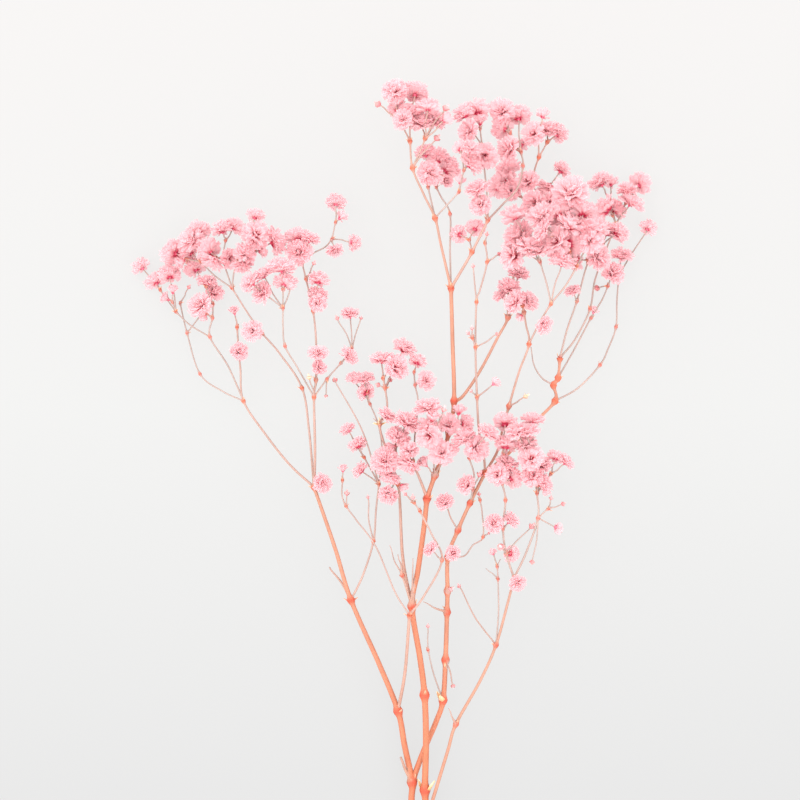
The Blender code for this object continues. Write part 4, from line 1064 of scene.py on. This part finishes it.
# Flower stalks, as shares of FLOWER_STALK or of their own length, and the bare tips
STALK_FOOT = 1.1
STALK_TOP = 0.8
STALK_BOW = 0.05
STRAIGHT_SHARE = 0.25
STRAIGHT_LIMIT = 2
INTO_CALYX = 0.4
BARE_FOOT = 0.5
BARE_POINT = 0.07
STUBS = {(401, 758): (0.62, 0.4), (330, 568): (0.6, 0.22)}

# Bracts under the joints, and the joints where they are long and straw-coloured
BRACT_LENGTH = 1.35
BRACT_LENGTH_PER_GIRTH = 1.6
BRACT_OUT = 1.3
BRACT_TURN = 0.3
SLIMMEST_BRACT = 0.8
STRAW_SCALES = 3
STRAW_LENGTH = 1.5
STRAW_JOINTS = [tuple(point(joint)) for joint in ("right_fork", "right_knee", "mid_left_tip")]


def crowded_swell(place):
    """A lone flower is small, and one among many others opens wide."""
    neighbours = sum(math.dist(place, other) < CROWD_REACH for other in FLOWER_PLACES) - 1
    return LONE_SWELL + (CROWDED_SWELL - LONE_SWELL) * min(neighbours / CROWD, 1)


class Limb:
    """Gathers what one limb is made of, then makes its pieces."""

    def __init__(self, name):
        self.name = name
        self.entry = LIMBS[name]
        self.draws = random.Random(name)
        self.runs = []
        self.petals = []
        self.calyces = []
        self.bracts = []
        self.straw = []
        self.bud_cups = []
        self.bud_tips = []
        self.withered = []

    def add_run(self, points, start, end, knobs):
        run = smooth_run(points)
        knotty = KNOTTY.get(self.name, 1)
        radii, swellings = swollen(run, start, end, knobs, knotty)
        lengths = lengths_along(run)
        girths = [start + (end - start) * length / lengths[-1] for length in lengths]
        self.runs.append((run, radii, swellings, [girth / 2 * knotty for girth in girths]))

    def add_bracts(self, joint, stalk_radius, directions):
        """Scales under each stalk that leaves the joint, cupped round its foot."""
        straw = tuple(joint) in STRAW_JOINTS
        for direction in list(directions) * (STRAW_SCALES if straw else 1):
            tone = self.draws.uniform(-1, 1) * FLOWER_VARIETY
            length = BRACT_LENGTH + stalk_radius * BRACT_LENGTH_PER_GIRTH
            length *= STRAW_LENGTH if straw else 1
            spin = self.draws.uniform(0, math.tau)
            side = direction.orthogonal().normalized()
            side.rotate(Matrix.Rotation(spin, 3, direction))
            lean = direction.lerp(side, BRACT_TURN).normalized()
            foot = joint + side * stalk_radius * BRACT_OUT
            turn = lean.to_track_quat("Z", "Y").to_matrix().to_4x4()
            facing = turn.to_3x3().inverted() @ side
            roll = math.atan2(facing.y, facing.x) - math.radians(90)
            width = length * self.draws.uniform(SLIMMEST_BRACT, 1)
            size = (width, width, length)
            scale = copy_of(BRACT_MODEL, placed(foot, lean, roll, size), tone)
            (self.straw if straw else self.bracts).append(scale)

    def add_flower(self, centre, size, axis, place):
        tone = self.draws.uniform(-1, 1) * FLOWER_VARIETY
        spin = self.draws.uniform(0, math.tau)
        if size > BUD_LIMIT:
            full = size * crowded_swell(place) * FULLER.get(self.name, 1)
            shape = [full * self.draws.uniform(least, most) for least, most in FLOWER_SHAPES]
            models = SMALL_FLOWERS if size < SMALL_LIMIT else FLOWERS
            model = self.draws.choice(models)
            petals = copy_of(model, placed(centre, axis, spin, shape), tone)
            lift = Matrix.Translation((0, 0, max(0, SURFACE_GAP * MM - lowest(petals))))
            petals.data.transform(lift)
            cup = placed(centre, axis, spin, (size, size, size))
            self.petals.append(petals)
            self.calyces.append(copy_of(CALYX_MODEL, lift @ cup, tone))
        else:
            placing = placed(centre, axis, spin, (size, size, size))
            withered = place in WITHERED_BUDS
            cups = self.withered if withered else self.bud_cups
            tips = self.withered if withered else self.bud_tips
            cups.append(copy_of(BUD_MODEL, placing, tone))
            tips.append(copy_of(BUD_TIP_MODEL, placing, tone))

    def add_spray(self, base, base_radius, flowers):
        """Thin stalks from one point to its flowers, forking once where there are several."""
        centres = [seen(*flower[:3]) for flower in flowers]
        route = [base]
        if len(flowers) > 1:
            middle = sum(centres, Vector()) / len(centres)
            route.append(base.lerp(middle, FORK_SHARE))
        forks = route[1:]
        leaving = []
        for index, (centre, entry) in enumerate(zip(centres, flowers)):
            size, lean = entry[3:]
            if lean < FACING:
                lean -= self.draws.uniform(*TURNED_AWAY)
            start = route if index == 0 else route[-1:]
            direction = (centre - start[-1]).normalized()
            axis = direction.lerp(Vector((0, 0, math.copysign(1, lean))), abs(lean)).normalized()
            tip = centre - axis * size * STALK_END_SHARE
            bare = STUBS.get(entry[:2], (BARE_FOOT, BARE_POINT))
            tip_radius = FLOWER_STALK * STALK_TOP if size else bare[1]
            first_radius = FLOWER_STALK * STALK_FOOT if size else bare[0]
            reach = (tip - start[-1]).length
            bow = direction.orthogonal().normalized()
            bow.rotate(Matrix.Rotation(self.draws.uniform(0, math.tau), 3, direction))
            middle = start[-1].lerp(tip, 0.5) + bow * reach * STALK_BOW
            last = tip - axis * min(reach * STRAIGHT_SHARE, STRAIGHT_LIMIT)
            points = start + [middle, last, tip + axis * INTO_CALYX]
            self.add_run(points, min(base_radius, first_radius), tip_radius, [base] + forks)
            leaving.append((middle - start[-1]).normalized())
            if size:
                self.add_flower(centre, size, axis, entry[:2])
        if forks:
            self.add_bracts(forks[0], FLOWER_STALK, leaving[:2])
            return (forks[0] - base).normalized()
        return leaving[0]

    def grow(self):
        path = [point(place) for place in self.entry["path"]]
        own = [place for place in self.entry["path"][1:] if isinstance(place, str)]
        start, end = self.entry["thickness"]
        knobs = [point(place) for place in own]
        if self.entry["sprays"]:
            knobs.append(path[-1])
        if isinstance(self.entry["path"][0], str):
            knobs.append(path[0])
        self.add_run(path, start, end, knobs)
        leaving = {}
        for place, flowers in self.entry["sprays"]:
            base = path[-1] if place == "end" else point(place)
            direction = self.add_spray(base, end, flowers)
            leaving.setdefault(tuple(base), []).append(direction)
        for joint in own:
            for child in LIMBS.values():
                if child["path"][0] == joint:
                    away = (point(child["path"][1]) - point(joint)).normalized()
                    leaving.setdefault(tuple(point(joint)), []).append(away)
        for joint, (place, after) in zip(self.entry["path"][1:], zip(path[1:], path[2:])):
            if isinstance(joint, str):
                leaving.setdefault(tuple(place), [(after - place).normalized()])
        lengths = lengths_along(path)
        for place, length in zip(path, lengths):
            if tuple(place) in leaving:
                radius = start + (end - start) * length / lengths[-1]
                self.add_bracts(place, radius, leaving[tuple(place)])

    def settle(self, kind, pieces, material):
        """Joins pieces of one kind, gives them their finish and fixes them to the frame."""
        if not pieces:
            return
        whole = joined(self.name + "_" + kind, pieces)
        whole.data.materials.clear()
        whole.data.materials.append(material)
        if kind == "stalks" and self.name == "main_stem":
            whole.data.materials.append(PITH)
            snip_end(whole, self.runs[0][0])
        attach(whole, "root")
        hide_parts(self.name)

    def make(self):
        self.grow()
        stalk = stalks_mesh(self.name + "_stalks", self.runs)
        self.settle("stalks", [stalk], BARKS[self.entry["colour"]])
        self.settle("bracts", self.bracts, BRACT)
        self.settle("straw_bracts", self.straw, STRAW)
        self.settle("petals", self.petals, PETALS)
        self.settle("calyces", self.calyces, CALYX)
        self.settle("bud_cups", self.bud_cups, BUD_CUP)
        self.settle("bud_tips", self.bud_tips, BUD_PETALS)
        self.settle("withered_buds", self.withered, WITHERED_BUD)


# What repeats is modelled once, and each limb takes copies
model_draws = random.Random(11)
FLOWERS = [flower("open_flower_" + str(i), OPEN_RINGS, model_draws) for i in range(4)]
FLOWERS += [flower("loose_flower_" + str(i), LOOSE_RINGS, model_draws) for i in range(2)]
SMALL_FLOWERS = [flower("closed_flower_" + str(i), CLOSED_RINGS, model_draws) for i in range(2)]
CALYX_MODEL = turned_body("calyx", CALYX_RINGS, CUP_SIDES, CALYX_TEETH)
BUD_MODEL = turned_body("bud", BUD_RINGS, CUP_SIDES, BUD_TEETH)
BUD_TIP_MODEL = turned_body("bud_tip", BUD_TIP_RINGS, CUP_SIDES)
BRACT_MODEL = bract_model()

for limb_name in LIMBS:
    Limb(limb_name).make()

for model in FLOWERS + SMALL_FLOWERS + [CALYX_MODEL, BUD_MODEL, BUD_TIP_MODEL, BRACT_MODEL]:
    put_away(model)


# The pale surface that the stem lies on, a little greyer towards its foot, in metres
SURFACE_SIZE = 4
SURFACE_FOOT = -0.13
SURFACE_HEAD = 0.24
SURFACE_GLOW = 0.82
SURFACE_SHADE = 0.08


def pale_surface():
    bpy.ops.mesh.primitive_plane_add(size=SURFACE_SIZE)
    surface = bpy.context.object
    surface.name = "surface"
    material = blank_material("matt_card_warm_white")
    place = add_node(material, "TexCoord")
    split = add_node(material, "SeparateXYZ", [(0, place, "Object")])
    along = add_node(material, "MapRange", [(0, split, "Y")],
                     values={"From Min": SURFACE_FOOT, "From Max": SURFACE_HEAD})
    ramp = add_node(material, "ValToRGB", [(0, along, 0)])
    set_ramp(ramp, [(0.0, "E9E9E9"), (0.5, "F4F4F3"), (1.0, "F8F6F5")])
    matt = add_node(material, "HueSaturation", [("Color", ramp, "Color")],
                    values={"Value": SURFACE_SHADE})
    card = add_node(material, "BsdfPrincipled",
                    [("Base Color", matt, "Color"), ("Emission Color", ramp, "Color")],
                    values={"Roughness": 0.9, "Specular IOR Level": 0.1,
                            "Emission Strength": SURFACE_GLOW})
    add_node(material, "OutputMaterial", [("Surface", card, 0)])
    surface.data.materials.append(material)


# A bright white studio with one broad light above, in metres and watts
WORLD_WHITE = (1.0, 0.995, 0.985, 1)
WORLD_LIGHT = 2.0
TOP_LIGHT = 9
TOP_LIGHT_SIZE = 1.6
TOP_LIGHT_PLACE = Vector((-0.5, 0.5, 1.6))


def top_light():
    """A soft light that shines on the middle of the surface."""
    light = bpy.data.lights.new("top_light", "AREA")
    light.size = TOP_LIGHT_SIZE
    light.energy = TOP_LIGHT
    lamp = bpy.data.objects.new("top_light", light)
    lamp.location = TOP_LIGHT_PLACE
    lamp.rotation_euler = (-TOP_LIGHT_PLACE).to_track_quat("-Z", "Y").to_euler()
    bpy.context.scene.collection.objects.link(lamp)


def studio():
    world = bpy.data.worlds.new("white_studio")
    world.use_nodes = True
    background = world.node_tree.nodes["Background"].inputs
    background["Color"].default_value = WORLD_WHITE
    background["Strength"].default_value = WORLD_LIGHT
    bpy.context.scene.world = world
    top_light()
    bpy.context.scene.view_settings.view_transform = "Standard"
    lens = bpy.data.cameras.new("camera")
    lens.lens = LENS
    lens.sensor_width = SENSOR
    lens.clip_start = 0.01
    camera = bpy.data.objects.new("camera", lens)
    camera.location = (CENTRE_X * MM, CENTRE_Y * MM, VIEW_HEIGHT * MM)
    bpy.context.scene.collection.objects.link(camera)
    bpy.context.scene.camera = camera


pale_surface()
studio()
